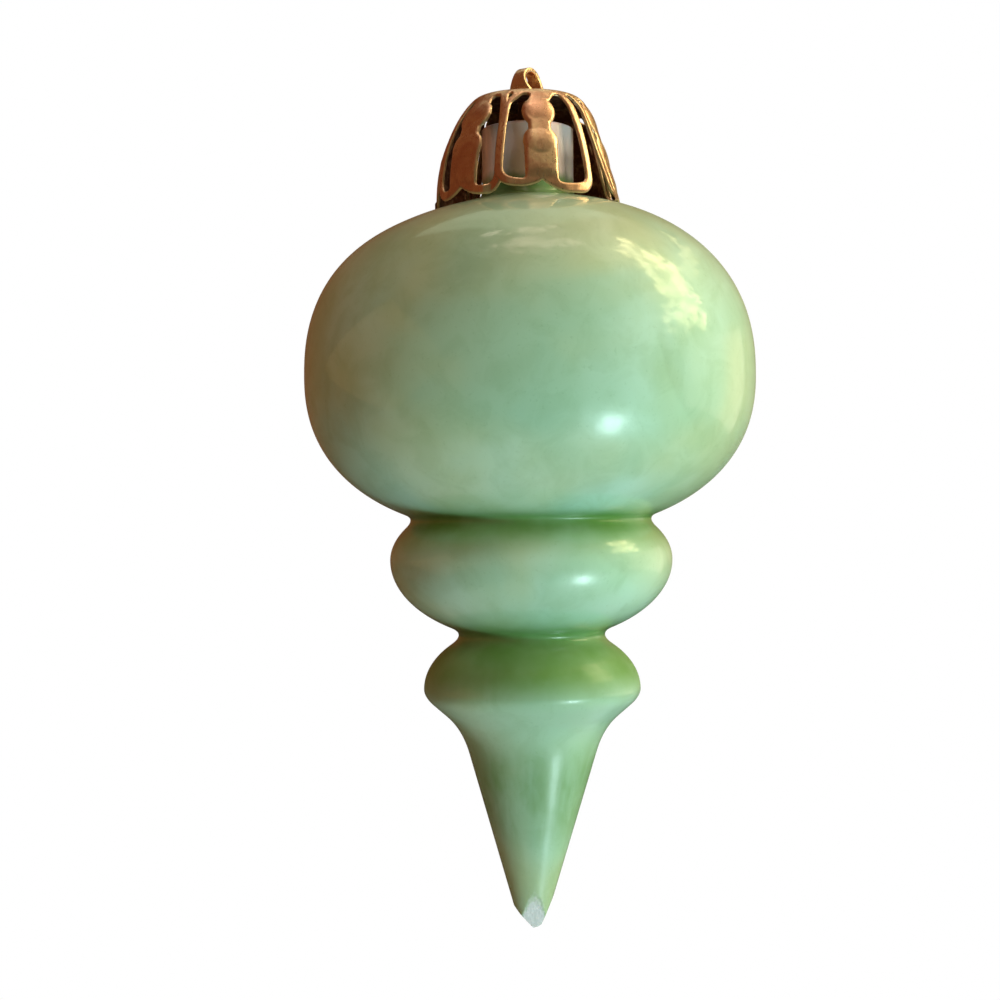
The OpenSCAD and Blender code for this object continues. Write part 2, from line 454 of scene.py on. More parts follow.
@dataclass(frozen=True)
class PearlLacquer(Finish):
    """Milky green pearl lacquer, uneven in tone, deeper green where it pools in the grooves and with painted
    shade under the bulb, the bead, the ridge and the crown, and gone from the neck and the chips.

    Attributes:
        green: Main tone.
        cool: Milky blue-green of the thicker clouds.
        warm: Yellow-green of the thinner clouds.
        pool_and_shade: Deep green where the lacquer pools, also used as painted shade under the bulb, the
            bead, the ridge and the crown.
        plastic: White of the bare plastic below it.
        chip: Matt white where it is chipped off.
        paint_top: Level where the lacquer ends on the neck, in millimetres.
        edge_start: How far above that level the paint edge begins, in millimetres.
        ragged: Height over which the paint edge wanders, in millimetres.
    """

    green: Colour
    cool: Colour
    warm: Colour
    pool_and_shade: Colour
    plastic: Colour
    chip: Colour
    paint_top: float
    edge_start: float = 0.1
    ragged: float = 1.6

    def clouding(self, graph: Graph) -> Socket:
        """Draws clouds of thicker and thinner lacquer, and brush streaks that darken the cone, strongest
        just under the ridge, where the darkening is partly painted shade.

        Args:
            graph: The material's node tree.

        Returns:
            The tone's socket.
        """
        milky = graph.ramp(graph.clouds(16, rough=0.5, swirl=0.5), 0.4, 0.68)
        thin = graph.ramp(graph.clouds(17, detail=2, rough=0.45, swirl=0.3, shift=0.31), 0.42, 0.7)
        blots = graph.clouds(4.5, detail=4, rough=0.6, swirl=0.8, shift=0.19)
        streaks = graph.clouds(2.6, rough=0.55, swirl=0.2, stretch=(1.0, 1.0, 0.12), shift=0.57)
        # Streaked darkening of the cone, strongest under the ridge: brush streaks and painted shade.
        worn = graph.times(graph.ramp(streaks, 0.34, 0.66, 0.4, 0.7), graph.mark("cone"))
        tone = graph.mix(graph.times(milky, 0.75), self.green, self.cool)
        tone = graph.mix(graph.times(thin, 0.4), tone, self.warm)
        tone = graph.mix(graph.ramp(blots, 0.42, 0.68, 0.0, 0.14), tone, self.pool_and_shade)
        return graph.mix(worn, tone, self.pool_and_shade)

    def pooling_and_shade(self, graph: Graph, tone: Socket, specks: Socket) -> Socket:
        """Deepens the tone where the lacquer pools, with painted shade under the bulb, the bead and the
        crown, and in fine specks.

        Args:
            graph: The material's node tree.
            tone: Tone so far.
            specks: Fine noise.

        Returns:
            The new tone's socket.
        """
        uneven = graph.ramp(graph.clouds(6, shift=0.11), 0.3, 0.7, 0.8, 1.0)
        # The groove mark is partly lacquer that pools and partly painted shade: on the bead under the bulb,
        # on the ridge under the bead and on the neck's foot under the crown.
        tone = graph.mix(graph.times(graph.mark("groove"), uneven), tone, self.pool_and_shade)
        return graph.mix(graph.ramp(specks, 0.6, 0.75, 0.0, 0.12), tone, self.pool_and_shade)

    def baring(self, graph: Graph, tone: Socket, specks: Socket, chipped: Socket) -> Socket:
        """Ends the lacquer in a ragged edge on the neck and takes it off the chips.

        Args:
            graph: The material's node tree.
            tone: Tone so far.
            specks: Fine noise.
            chipped: Share of the lacquer that is chipped off.

        Returns:
            The new tone's socket.
        """
        wander = graph.times(graph.clouds(2.2, rough=0.6), self.ragged * MM)
        start = self.paint_top + self.edge_start
        bare = graph.ramp(graph.plus(graph.height(), wander), start * MM, (start + self.ragged) * MM)
        broken = graph.mix(graph.ramp(specks, 0.4, 0.7, 0.0, 0.3), self.chip, self.plastic)
        return graph.mix(chipped, graph.mix(bare, tone, self.plastic), broken)

    def draw(self, graph: Graph) -> None:
        """Draws the tone and a gloss coat, which is gone from the chips and dull on the ridge's slope."""
        specks = graph.clouds(0.45, detail=2, rough=0.6, shift=0.83)
        chipped, dull = graph.mark("bare"), graph.mark("dull")
        tone = self.pooling_and_shade(graph, self.clouding(graph), specks)
        tone = self.baring(graph, tone, specks, chipped)
        gloss = graph.ramp(graph.clouds(7, shift=0.4), 0.3, 0.7, 0.3, 0.42)
        gloss = graph.plus(gloss, graph.times(chipped, 0.35))
        gloss = graph.plus(gloss, graph.times(dull, 0.12))
        coat = graph.times(graph.ramp(chipped, 0.0, 1.0, 0.75, 0.0), graph.ramp(dull, 0.0, 1.0, 1.0, 0.3))
        skin = graph.plus(graph.clouds(2.6, detail=2), graph.times(specks, 0.06))
        graph.surface(Base_Color=tone, Roughness=gloss, Normal=graph.bump(skin, 0.035),
                      Subsurface_Weight=0.12, Subsurface_Radius=(0.9, 1.0, 0.8), Subsurface_Scale=0.0012,
                      Coat_Weight=coat, Coat_Roughness=0.09, Coat_IOR=1.5)


@dataclass(frozen=True)
class BarePlastic(Finish):
    """White moulded plastic with faint stains.

    Attributes:
        white: Main tone.
        stain: Tone of the stains.
        rough: Roughness.
        grit: Depth of the surface's unevenness in millimetres.
        rough_swing: How far the roughness varies.
    """

    white: Colour
    stain: Colour
    rough: float
    grit: float
    rough_swing: float = 0.08

    def draw(self, graph: Graph) -> None:
        """Draws stains, a rough grain and a soft sheen."""
        stains = graph.clouds(2.4, detail=4, rough=0.6, swirl=0.5)
        tone = graph.mix(graph.ramp(stains, 0.45, 0.75, 0.0, 0.5), self.white, self.stain)
        grain = graph.clouds(0.35, detail=4, rough=0.65)
        shine = graph.ramp(grain, 0.3, 0.7, self.rough - self.rough_swing, self.rough + self.rough_swing)
        graph.surface(Base_Color=tone, Roughness=shine, Normal=graph.bump(grain, self.grit),
                      Subsurface_Weight=0.1, Subsurface_Radius=(1.0, 0.95, 0.9), Subsurface_Scale=0.0008)


@dataclass(frozen=True)
class AgedGilt(Finish):
    """Copper-gold plating on stamped metal, worn bright on the edges, with patchy tarnishing, and darkened
    in the marked hollows partly by tarnishing and partly by painted shade.

    Attributes:
        copper: Main tone.
        gold: Paler tone of the well-kept plating.
        tarnish_and_shade: Dark tone of the tarnishing, also painted as shade in the marked hollows.
        tarnish_share: How much of it shows in the open.
    """

    copper: Colour
    gold: Colour
    tarnish_and_shade: Colour
    tarnish_share: float

    def draw(self, graph: Graph) -> None:
        """Draws gold clouds, patchy tarnishing, painted shade in the marked hollows, bright edges and fine
        scratches.
        """
        gilded = graph.ramp(graph.clouds(4.5, detail=4, rough=0.6, swirl=0.6), 0.4, 0.68)
        tone = graph.mix(gilded, self.copper, self.gold)
        stains = graph.clouds(2.2, detail=5, rough=0.65, swirl=0.8, shift=0.23)
        patchy = graph.ramp(graph.clouds(1.2, detail=4, rough=0.6, shift=0.6), 0.2, 0.6, 0.65, 1.0)
        # Dark tone in the hollow mark: inside the crown partly tarnishing and partly painted shade, on the
        # hanger painted shade under the plate.
        dark = graph.larger(graph.ramp(stains, 0.5, 0.78, 0.0, self.tarnish_share),
                            graph.times(graph.mark("hollow"), patchy))
        tone = graph.mix(dark, tone, self.tarnish_and_shade)
        tone = graph.mix(graph.times(graph.mark("edge"), 0.55), tone, self.gold)
        scratches = graph.clouds(0.25, rough=0.6, stretch=(1.0, 1.0, 0.25), shift=0.7)
        dents = graph.clouds(1.6, detail=2, shift=0.9)
        relief = graph.plus(dents, graph.times(scratches, 0.12))
        shine = graph.plus(graph.ramp(scratches, 0.35, 0.65, 0.27, 0.38), graph.times(dark, 0.22))
        graph.surface(Base_Color=tone, Metallic=1.0, Roughness=shine, Normal=graph.bump(relief, 0.09))


@dataclass(frozen=True)
class PaleFloor(Finish):
    """Plain pale floor that fades out towards its edge.

    Attributes:
        pale: Tone of the floor.
        cloud: Tone of its faint clouds.
        fade_from: Distance from the axis at which it starts to fade, in millimetres.
        fade_to: Distance at which it has faded out, in millimetres.
    """

    pale: Colour
    cloud: Colour
    fade_from: float
    fade_to: float

    def draw(self, graph: Graph) -> None:
        """Draws a faintly clouded matt surface and its transparent edge."""
        split = graph.node("ShaderNodeSeparateXYZ")
        graph.feed(split.inputs[0], graph.place())
        flat = graph.node("ShaderNodeCombineXYZ")
        for axis in ("X", "Y"):
            graph.feed(flat.inputs[axis], split.outputs[axis])
        reach = graph.node("ShaderNodeVectorMath", operation="LENGTH")
        graph.feed(reach.inputs[0], flat.outputs[0])
        faded = graph.ramp(reach.outputs["Value"], self.fade_from * MM, self.fade_to * MM)
        clouds = graph.ramp(graph.clouds(30), 0.3, 0.7, 0.0, 0.06)
        matt = graph.node("ShaderNodeBsdfDiffuse")
        graph.feed(matt.inputs["Color"], graph.mix(clouds, self.pale, self.cloud))
        clear = graph.node("ShaderNodeBsdfTransparent")
        graph.end(graph.blend(faded, matt.outputs[0], clear.outputs[0]))


@dataclass(frozen=True)
class CardGlow(Finish):
    """Glow of a card beside the set, which the glossy surfaces mirror.

    Attributes:
        tone: Colour of the glow.
        low_tone: Colour towards the card's foot, where it differs.
        level: Brightness, where 1 is white paper.
        dapple: Share of the glow that dark patches take away; the edges of a dappled card are ragged.
        foot_z: Level below which the low tone is full, in millimetres.
        full_z: Level above which the main tone is full, in millimetres.
    """

    tone: Colour
    low_tone: Optional[Colour] = None
    level: float = 1.0
    dapple: float = 0.0
    foot_z: float = -125.0
    full_z: float = -45.0

    def draw(self, graph: Graph) -> None:
        """Draws the glow, its change towards the foot and its patches."""
        glow = graph.node("ShaderNodeEmission")
        up = graph.ramp(graph.height(), self.foot_z * MM, self.full_z * MM)
        graph.feed(glow.inputs["Color"], graph.mix(up, self.low_tone or self.tone, self.tone))
        if self.dapple:
            leaves = graph.clouds(30, detail=4, rough=0.6, swirl=0.8)
            patches = graph.ramp(leaves, 0.42, 0.58, self.level * (1.0 - self.dapple), self.level)
            ragged = graph.plus(graph.mark("inner"), graph.ramp(leaves, 0.35, 0.65, -0.4, 0.4))
            graph.feed(glow.inputs["Strength"], graph.times(patches, graph.ramp(ragged, 0.0, 0.4)))
        else:
            glow.inputs["Strength"].default_value = self.level
        graph.end(glow.outputs[0])


LACQUER = PearlLacquer(
    "pearl_lacquer", green=srgb(152, 196, 166), cool=srgb(170, 216, 198), warm=srgb(184, 196, 142),
    pool_and_shade=srgb(84, 134, 58), plastic=srgb(242, 234, 232), chip=srgb(204, 214, 216), paint_top=-12.0)
NECK_PLASTIC = BarePlastic(
    "neck_plastic", white=srgb(250, 234, 236), stain=srgb(204, 186, 172), rough=0.42, grit=0.02)
CROWN_GILT = AgedGilt(
    "crown_gilt", copper=srgb(222, 175, 146), gold=srgb(250, 220, 184), tarnish_and_shade=srgb(92, 48, 34),
    tarnish_share=0.45)
HANGER_GILT = AgedGilt(
    "hanger_gilt", copper=srgb(218, 172, 142), gold=srgb(246, 214, 176), tarnish_and_shade=srgb(88, 48, 34),
    tarnish_share=0.3)
FLOOR_MATT = PaleFloor(
    "pale_floor", pale=srgb(198, 226, 248), cloud=srgb(225, 222, 216), fade_from=120.0, fade_to=238.0)


class Outline:
    """Stretches of a turned outline as rows of radius and level."""

    ARC_STEPS = 44
    BEND_STEPS = 12
    ELLIPSE = 2
    UP = np.array([0.0, 1.0])
    OUT = np.array([1.0, 0.0])
    DOWN = np.array([0.0, -1.0])

    @staticmethod
    def oval_height(radius: float, half_width: float, height: float, fullness: float) -> float:
        """Gives an oval's height at a radius.

        Args:
            radius: Radius to look up.
            half_width: Half the oval's width.
            height: The oval's height at its axis.
            fullness: Exponent of the oval, where 2 is an ellipse.

        Returns:
            The height above or below the widest line.
        """
        return height * (1 - (radius / half_width) ** fullness) ** (1 / fullness)

    @classmethod
    def oval_arc(cls, start: float, end: float, half_width: float, height: float, fullness: float,
                 level: float, half: Half) -> np.ndarray:
        """Follows an oval between two radii.

        Args:
            start: First radius.
            end: Last radius.
            half_width: Half the oval's width.
            height: The oval's height at its axis.
            fullness: Exponent of the oval.
            level: Level of the widest line.
            half: Half of the oval to follow.

        Returns:
            Points of the arc.
        """
        first, last = (math.acos((radius / half_width) ** (fullness / 2)) for radius in (start, end))
        angle = np.linspace(first, last, cls.ARC_STEPS + 1)
        radii = half_width * np.clip(np.cos(angle), 0, 1) ** (2 / fullness)
        levels = level + half.value * height * np.clip(np.sin(angle), 0, 1) ** (2 / fullness)
        return np.column_stack([radii, levels])

    @classmethod
    def bend(cls, start: np.ndarray, leaving: np.ndarray, end: np.ndarray,
             arriving: np.ndarray) -> np.ndarray:
        """Bends from one line into another.

        Args:
            start: Point where the bend leaves the first line.
            leaving: Direction of the first line.
            end: Point where it meets the second line.
            arriving: Direction of the second line.

        Returns:
            Points between the two ends.
        """
        cross = leaving[0] * arriving[1] - leaving[1] * arriving[0]
        gap = end - start
        corner = start + leaving * (gap[0] * arriving[1] - gap[1] * arriving[0]) / cross
        share = (np.arange(1, cls.BEND_STEPS) / cls.BEND_STEPS)[:, None]
        return start * (1 - share) ** 2 + corner * 2 * share * (1 - share) + end * share ** 2

    @classmethod
    def joined(cls, first: np.ndarray, second: np.ndarray) -> np.ndarray:
        """Joins two stretches by a bend.

        Args:
            first: First stretch.
            second: Second stretch.

        Returns:
            The joined stretch.
        """
        curve = cls.bend(first[-1], first[-1] - first[-2], second[0], second[1] - second[0])
        return np.vstack([first, curve, second])


@dataclass(frozen=True)
class ChipFacet:
    """A flat face broken off the tip.

    Attributes:
        facing: Ring angle that it faces, in degrees.
        lean: How far it faces downwards, in degrees.
        drop: How far below the tip its plane meets the axis.
        bare: Share of the lacquer that is gone from it.
        rough: Height of its rough grain.
    """

    # Depths from the facet's plane over which the break sets in, and over which the lacquer is torn
    BREAK = (-0.12, 0.1)
    TORN = (-0.08, 0.26)
    # Fineness of the grain and of the torn edge, per millimetre
    GRAIN_PITCH = 2.1
    TEAR_PITCH = 3.1
    # Fall-off, gap and number of the grain's octaves
    GRAIN_OCTAVES = (0.7, 2.0, 3)
    # Level about which the grain swings, and how far the torn edge wanders
    GRAIN_LEVEL = 0.35
    TEAR = 0.1

    facing: float
    lean: float
    drop: float
    bare: float
    rough: float = 0.03

    def normal(self) -> np.ndarray:
        """Gives the direction that the facet faces."""
        turn, lean = math.radians(self.facing), math.radians(self.lean)
        level = math.cos(lean)
        return np.array([math.cos(turn) * level, math.sin(turn) * level, -math.sin(lean)])

    def sinking(self, beyond: float, place: np.ndarray) -> float:
        """Gives how far a corner sinks to the broken face.

        Args:
            beyond: How far the corner stands out over the facet's plane.
            place: Place of the corner.

        Returns:
            The way inwards.
        """
        grain = noise.fractal(Vector(place * self.GRAIN_PITCH), *self.GRAIN_OCTAVES)
        broken = float(smooth_step(np.array(beyond), *self.BREAK))
        return max(beyond + self.rough * (self.GRAIN_LEVEL + grain) * broken, 0.0)

    def baring(self, beyond: float, place: np.ndarray) -> float:
        """Gives how much of the lacquer is gone from a corner.

        Args:
            beyond: How far the corner stands out over the facet's plane.
            place: Place of the corner.

        Returns:
            A share from 0 to 1.
        """
        torn = beyond + self.TEAR * noise.noise(Vector(place * self.TEAR_PITCH))
        return self.bare * float(smooth_step(np.array(torn), *self.TORN))


@dataclass
class TurnedBody:
    """Hollow moulded body: neck, bulb, bead, ridge and cone, with a chipped tip.

    Attributes:
        node: CAD node that the body stands for.
        segments: Points round the axis.
        cone_steps: Points down the cone.
        cone_crowding: How much closer together they are towards the tip.
        tip_steps: Points round the tip.
        bulb_top_h: Height of the bulb above its widest line.
        bulb_low_h: Height of the bulb's oval below it.
        bulb_fullness: Exponent of the bulb's oval.
        wall: Thickness of the wall.
        neck_r: Outer radius of the neck.
        neck_h: Height of the neck.
        neck_wall: Thickness of the neck's wall.
        neck_fillet: Fillet between neck and shoulder.
        rim_round: Rounding of the rim.
        groove_r: Radius at which the ovals of bulb and bead would end.
        groove_open: Gap between them there.
        groove_blend: How far out from there the groove is rounded.
        bead_r: Radius of the bead.
        bead_top_h: Height of the bead's oval above its widest line.
        bead_low_h: Height of the bead's oval below it.
        waist_r: Radius at which the ovals of bead and ridge would end.
        waist_open: Gap between them there.
        waist_blend: How far out from there the waist is rounded.
        ridge_r: Radius of the ridge.
        ridge_top_h: Height of the ridge's oval.
        lip_in: Size of the ridge's rounded lip.
        flank_angle: Slope of the flank under the ridge, in degrees.
        flank_l: Length of the flank.
        cone_r: Radius at the cone's top.
        cone_drop: Drop from the ridge to the cone's top.
        tip_r: Radius at which the tip's rounding starts.
        tip_h: Height of the rounding.
        tip_solid: Height of the solid end.
        tip_fullness: Exponent of the tip's oval.
        sag: How far the bulb's shoulder has sunk on one side.
        sag_facing: Ring angle of that side, in degrees.
        lean: How far the tip leans to that side.
        facets: Faces broken off the tip.
    """

    # Part of the tip, in heights of its rounding, that the facets may reach
    CHIP_REACH = 4
    # Heights of the rounding over which the rubbed end fades, and how bare it is
    RUBBED = (0.4, 0.7)
    RUBBED_BARE = 0.9
    # Depth of the deep green at the waist and at the neck's foot, partly lacquer that pools and partly
    # painted shade under the bead and the crown, and the drop over which it fades there
    WAIST_POOL_AND_SHADE = 0.95
    SHOULDER_POOL_AND_SHADE = 0.9
    SHOULDER_FADE = 0.7
    # Drops below the cone's top over which the streaked darkening, partly painted shade under the ridge,
    # sets in and fades, and what is left of it
    STREAK_SHADE_RISE = (-4.0, 3.0)
    STREAK_SHADE_FALL = (6.0, 13.0)
    STREAK_SHADE_REST = 0.35
    # Shares of the ridge's upper slope over which the coat turns dull and glossy again
    DULL_RISE = (0.15, 0.35)
    DULL_FALL = (0.85, 1.1)
    # Share of the neck's height, from the rim down, that has the bare plastic's own finish
    BARE_NECK = 0.4

    node: str = "body_shell"
    segments: int = 208
    cone_steps: int = 70
    cone_crowding: float = 1.8
    tip_steps: int = 25
    bulb_top_h: float = 21.8
    bulb_low_h: float = 19.3
    bulb_fullness: float = 2.3
    wall: float = 1.0
    neck_r: float = 5.6
    neck_h: float = 8.5
    neck_wall: float = 1.1
    neck_fillet: float = 1.2
    rim_round: float = 0.35
    groove_r: float = 14.55
    groove_open: float = 0.6
    groove_blend: float = 0.75
    bead_r: float = 17.25
    bead_top_h: float = 8.6
    bead_low_h: float = 10.1
    waist_r: float = 8.9
    waist_open: float = 1.1
    waist_blend: float = 1.0
    ridge_r: float = 13.25
    ridge_top_h: float = 8.1
    lip_in: float = 1.15
    flank_angle: float = 41.0
    flank_l: float = 2.1
    cone_r: float = 7.8
    cone_drop: float = 7.8
    tip_r: float = 2.15
    tip_h: float = 2.4
    tip_solid: float = 4.5
    tip_fullness: float = 1.9
    sag: float = 0.6
    sag_facing: float = 126.0
    lean: float = 0.25
    facets: tuple[ChipFacet, ...] = (
        ChipFacet(facing=222.0, lean=25.4, drop=1.29, bare=1.0),
        ChipFacet(facing=128.0, lean=40.7, drop=0.1, bare=0.45),
        ChipFacet(facing=301.0, lean=22.8, drop=1.78, bare=0.4),
    )

    def __post_init__(self) -> None:
        """Works out the levels from the CAD node's box."""
        low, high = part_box(self.node)
        self.rim_z = high.z / MM
        self.end_z = low.z / MM
        self.bulb_r = (high.x - low.x) / 2 / MM
        self.bore_r = self.neck_r - self.neck_wall
        height, ellipse = Outline.oval_height, Outline.ELLIPSE
        bulb_low = height(self.groove_r, self.bulb_r, self.bulb_low_h, self.bulb_fullness)
        bead_top = height(self.groove_r, self.bead_r, self.bead_top_h, ellipse)
        bead_low = height(self.waist_r, self.bead_r, self.bead_low_h, ellipse)
        ridge_top = height(self.waist_r, self.ridge_r, self.ridge_top_h, ellipse)
        self.bulb_z = self.rim_z - self.neck_h - self.bulb_top_h
        self.groove_z = self.bulb_z - bulb_low
        self.bead_z = self.groove_z - self.groove_open - bead_top
        self.waist_z = self.bead_z - bead_low
        self.ridge_z = self.waist_z - self.waist_open - ridge_top
        self.cone_z = self.ridge_z - self.cone_drop
        self.tip_z = self.end_z + self.tip_h
        self.cone_slope = (self.cone_r - self.tip_r) / (self.cone_z - self.tip_z)

    def flank(self, inset: float) -> np.ndarray:
        """Gives the straight flank under the ridge.

        Args:
            inset: Distance inside the outer surface.

        Returns:
            Its two ends.
        """
        angle = math.radians(self.flank_angle)
        start = np.array([self.ridge_r - self.lip_in,
                          self.ridge_z - self.lip_in * (1 + math.sin(angle))])
        start = start - inset * np.array([math.sin(angle), -math.cos(angle)])
        return np.array([start, start - self.flank_l * np.array([math.cos(angle), math.sin(angle)])])

    def cone_side(self, inset: float, low_z: float) -> np.ndarray:
        """Gives the straight side of the cone, with its points closer together towards the tip.

        Args:
            inset: Distance inside the outer surface.
            low_z: Level of its lower end.

        Returns:
            Its points.
        """
        share = np.linspace(0, 1, self.cone_steps)
        levels = self.cone_z + (low_z - self.cone_z) * (1 - (1 - share) ** self.cone_crowding)
        radii = self.tip_r + (levels - self.tip_z) * self.cone_slope
        return np.column_stack([radii - inset * math.hypot(1, self.cone_slope), levels])

    def skin(self, inset: float, start_r: float, low_z: float) -> np.ndarray:
        """Follows the outline from the bulb's shoulder to the cone's end.

        Args:
            inset: Distance inside the outer surface.
            start_r: Radius on the shoulder at which it starts.
            low_z: Level at which it ends.

        Returns:
            Its points, from the top down.
        """
        arc, ellipse = Outline.oval_arc, Outline.ELLIPSE
        bulb_r, bead_r, ridge_r = self.bulb_r - inset, self.bead_r - inset, self.ridge_r - inset
        groove_r = self.groove_r - inset + self.groove_blend
        waist_r = self.waist_r - inset + self.waist_blend
        full = self.bulb_fullness
        bulb = np.vstack([
            arc(start_r, bulb_r, bulb_r, self.bulb_top_h - inset, full, self.bulb_z, Half.UPPER),
            arc(bulb_r, groove_r, bulb_r, self.bulb_low_h - inset, full, self.bulb_z, Half.LOWER)[1:]])
        bead = np.vstack([
            arc(groove_r, bead_r, bead_r, self.bead_top_h - inset, ellipse, self.bead_z, Half.UPPER),
            arc(bead_r, waist_r, bead_r, self.bead_low_h - inset, ellipse, self.bead_z, Half.LOWER)[1:]])
        flank = self.flank(inset)
        top = arc(waist_r, ridge_r, ridge_r, self.ridge_top_h - inset, ellipse, self.ridge_z, Half.UPPER)
        lip = Outline.bend(top[-1], Outline.DOWN, flank[0], flank[1] - flank[0])
        ridge = np.vstack([top, lip, flank])
        shape = Outline.joined(Outline.joined(bulb, bead), ridge)
        return Outline.joined(shape, self.cone_side(inset, low_z))

    def outline(self) -> np.ndarray:
        """Follows the wall from the hollow's bottom up the inside, over the rim and down to the tip."""
        neck = np.array([[self.neck_r, self.rim_z - self.rim_round],
                         [self.neck_r, self.bulb_z + self.bulb_top_h + self.neck_fillet]])
        outer = Outline.joined(neck, self.skin(0, self.neck_r + self.neck_fillet, self.tip_z))
        angle = np.linspace(0, math.pi / 2, self.tip_steps + 1)[1:]
        tip = np.column_stack([
            self.tip_r * np.clip(np.cos(angle), 0, 1) ** (2 / self.tip_fullness),
            self.tip_z - self.tip_h * np.sin(angle) ** (2 / self.tip_fullness)])
        inner = self.skin(self.wall, self.bore_r, self.end_z + self.tip_solid)[::-1]
        floor = np.array([[0.0, self.end_z + self.tip_solid]])
        rim_in = np.array([[self.bore_r, self.rim_z - self.rim_round]])
        rim_start = np.array([self.bore_r + self.rim_round, self.rim_z])
        rim_end = np.array([self.neck_r - self.rim_round, self.rim_z])
        mouth = Outline.bend(rim_in[0], Outline.UP, rim_start, Outline.OUT)
        edge = Outline.bend(rim_end, Outline.OUT, neck[0], Outline.DOWN)
        return np.vstack([floor, inner, rim_in, mouth, edge, outer, tip])

    def chipped(self, points: np.ndarray) -> tuple[np.ndarray, np.ndarray]:
        """Breaks the facets off the tip.

        Args:
            points: Corners of the body.

        Returns:
            The moved corners, and how bare each one is.
        """
        bare = np.zeros(len(points))
        moved = points.copy()
        near = np.where(points[:, 2] < self.tip_z + self.CHIP_REACH * self.tip_h)[0]
        for facet in self.facets:
            normal = facet.normal()
            foot = np.array([0.0, 0.0, self.end_z - facet.drop])
            for i in near:
                beyond = float((moved[i] - foot) @ normal)
                if beyond > facet.BREAK[0]:
                    moved[i] = moved[i] - normal * facet.sinking(beyond, points[i])
                    bare[i] = max(bare[i], facet.baring(beyond, points[i]))
        heights = (points[:, 2] - self.end_z) / self.tip_h
        rubbed = 1 - smooth_step(heights, *self.RUBBED)
        return moved, np.maximum(bare, self.RUBBED_BARE * rubbed)

    def draft(self) -> MeshDraft:
        """Turns the outline into a closed wall with its marks."""
        outline = self.outline()
        rings = outline[1:-1]
        count = self.segments
        turn = np.arange(count) / count * FULL_TURN
        radii, levels = rings[:, 0, None], rings[:, 1, None]
        ring_points = np.stack([radii * np.cos(turn), radii * np.sin(turn),
                                np.repeat(levels, count, axis=1)], axis=-1).reshape(-1, 3)
        ends = np.array([[0, 0, outline[0, 1]], [0, 0, outline[-1, 1]]])
        points = np.vstack([ring_points, ends])
        points[:, 2] -= self.sagging(points)
        points[:, :2] += self.leaning(points)
        faces = grid_faces(len(rings), count, closed=True)
        last_ring, floor, tip = len(ring_points) - count, len(points) - 2, len(points) - 1
        for i in range(count):
            j = (i + 1) % count
            faces.append((floor, j, i))
            faces.append((last_ring + i, last_ring + j, tip))
        points, bare = self.chipped(points)
        marks = {"bare": bare, "groove": self.pool_and_shade_marks(points), "dull": self.dull_marks(points),
                 "cone": self.cone_marks(points)}
        return MeshDraft(points, faces, marks)

    def sagging(self, points: np.ndarray) -> np.ndarray:
        """Gives how far the bulb's shoulder has sunk on one side.

        Args:
            points: Corners of the body.

        Returns:
            Drops per corner.
        """
        reach = np.hypot(points[:, 0], points[:, 1])
        side = np.cos(np.arctan2(points[:, 1], points[:, 0]) - math.radians(self.sag_facing))
        ring = hump(reach, (self.neck_r, 2 * self.neck_r), (self.groove_r, self.bulb_r))
        return np.where(points[:, 2] > self.bulb_z, self.sag * np.clip(side, 0, 1) * ring, 0)

    def leaning(self, points: np.ndarray) -> np.ndarray:
        """Gives how far the cone leans to the side on which the shoulder has sunk.

        Args:
            points: Corners of the body.

        Returns:
            Sideways shifts per corner.
        """
        share = np.clip((self.cone_z - points[:, 2]) / (self.cone_z - self.end_z), 0, 1)
        facing = math.radians(self.sag_facing)
        return self.lean * share[:, None] * np.array([math.cos(facing), math.sin(facing)])

    def pool_and_shade_marks(self, points: np.ndarray) -> np.ndarray:
        """Marks the grooves in which the lacquer pools, and the painted shade on the bulges below them and
        on the neck's foot under the crown.

        Args:
            points: Corners of the body.

        Returns:
            Values from 0 to 1 per corner.
        """
        levels = points[:, 2]

        def pool_and_shade(top: float, rise: float, full: float, end: float) -> np.ndarray:
            """Lacquer that pools in a groove, with painted shade that thins out down the bulge below it."""
            over = np.exp(-((np.maximum(levels - top, 0) / rise) ** 2))
            return over * (1 - smooth_step(top - levels, full, end))

        slope = self.waist_z - self.ridge_z
        groove = pool_and_shade(self.groove_z, rise=0.8, full=0.6, end=self.groove_z - self.bead_z)
        waist = pool_and_shade(self.waist_z, rise=1.3, full=0.62 * slope, end=1.3 * slope)
        below_neck = np.minimum(levels - self.bulb_z - self.bulb_top_h, 0)
        shoulder = np.exp(-((below_neck / self.SHOULDER_FADE) ** 2))
        return np.clip(groove + self.WAIST_POOL_AND_SHADE * waist + self.SHOULDER_POOL_AND_SHADE * shoulder, 0, 1)

    def cone_marks(self, points: np.ndarray) -> np.ndarray:
        """Marks the cone, where brush streaks darken it, strongest at its top, where the darkening is partly
        painted shade under the ridge.

        Args:
            points: Corners of the body.

        Returns:
            Values from 0 to 1 per corner.
        """
        depths = self.cone_z - points[:, 2]
        return hump(depths, self.STREAK_SHADE_RISE, self.STREAK_SHADE_FALL, self.STREAK_SHADE_REST)

    def dull_marks(self, points: np.ndarray) -> np.ndarray:
        """Marks the ridge's upper slope, where the coat has dulled.

        Args:
            points: Corners of the body.

        Returns:
            Values from 0 to 1 per corner.
        """
        shares = (self.waist_z - points[:, 2]) / (self.waist_z - self.ridge_z)
        return hump(shares, self.DULL_RISE, self.DULL_FALL)

    def dress(self, piece: bpy.types.Object, points: np.ndarray) -> None:
        """Lacquers the body and leaves the upper part of the neck bare.

        Args:
            piece: The body.
            points: Its corners, in millimetres.
        """
        for finish in (LACQUER, NECK_PLASTIC):
            piece.data.materials.append(finish.material())
        bare_z = self.rim_z - self.BARE_NECK * self.neck_h
        for face in piece.data.polygons:
            if float(points[list(face.vertices), 2].mean()) > bare_z:
                face.material_index = 1

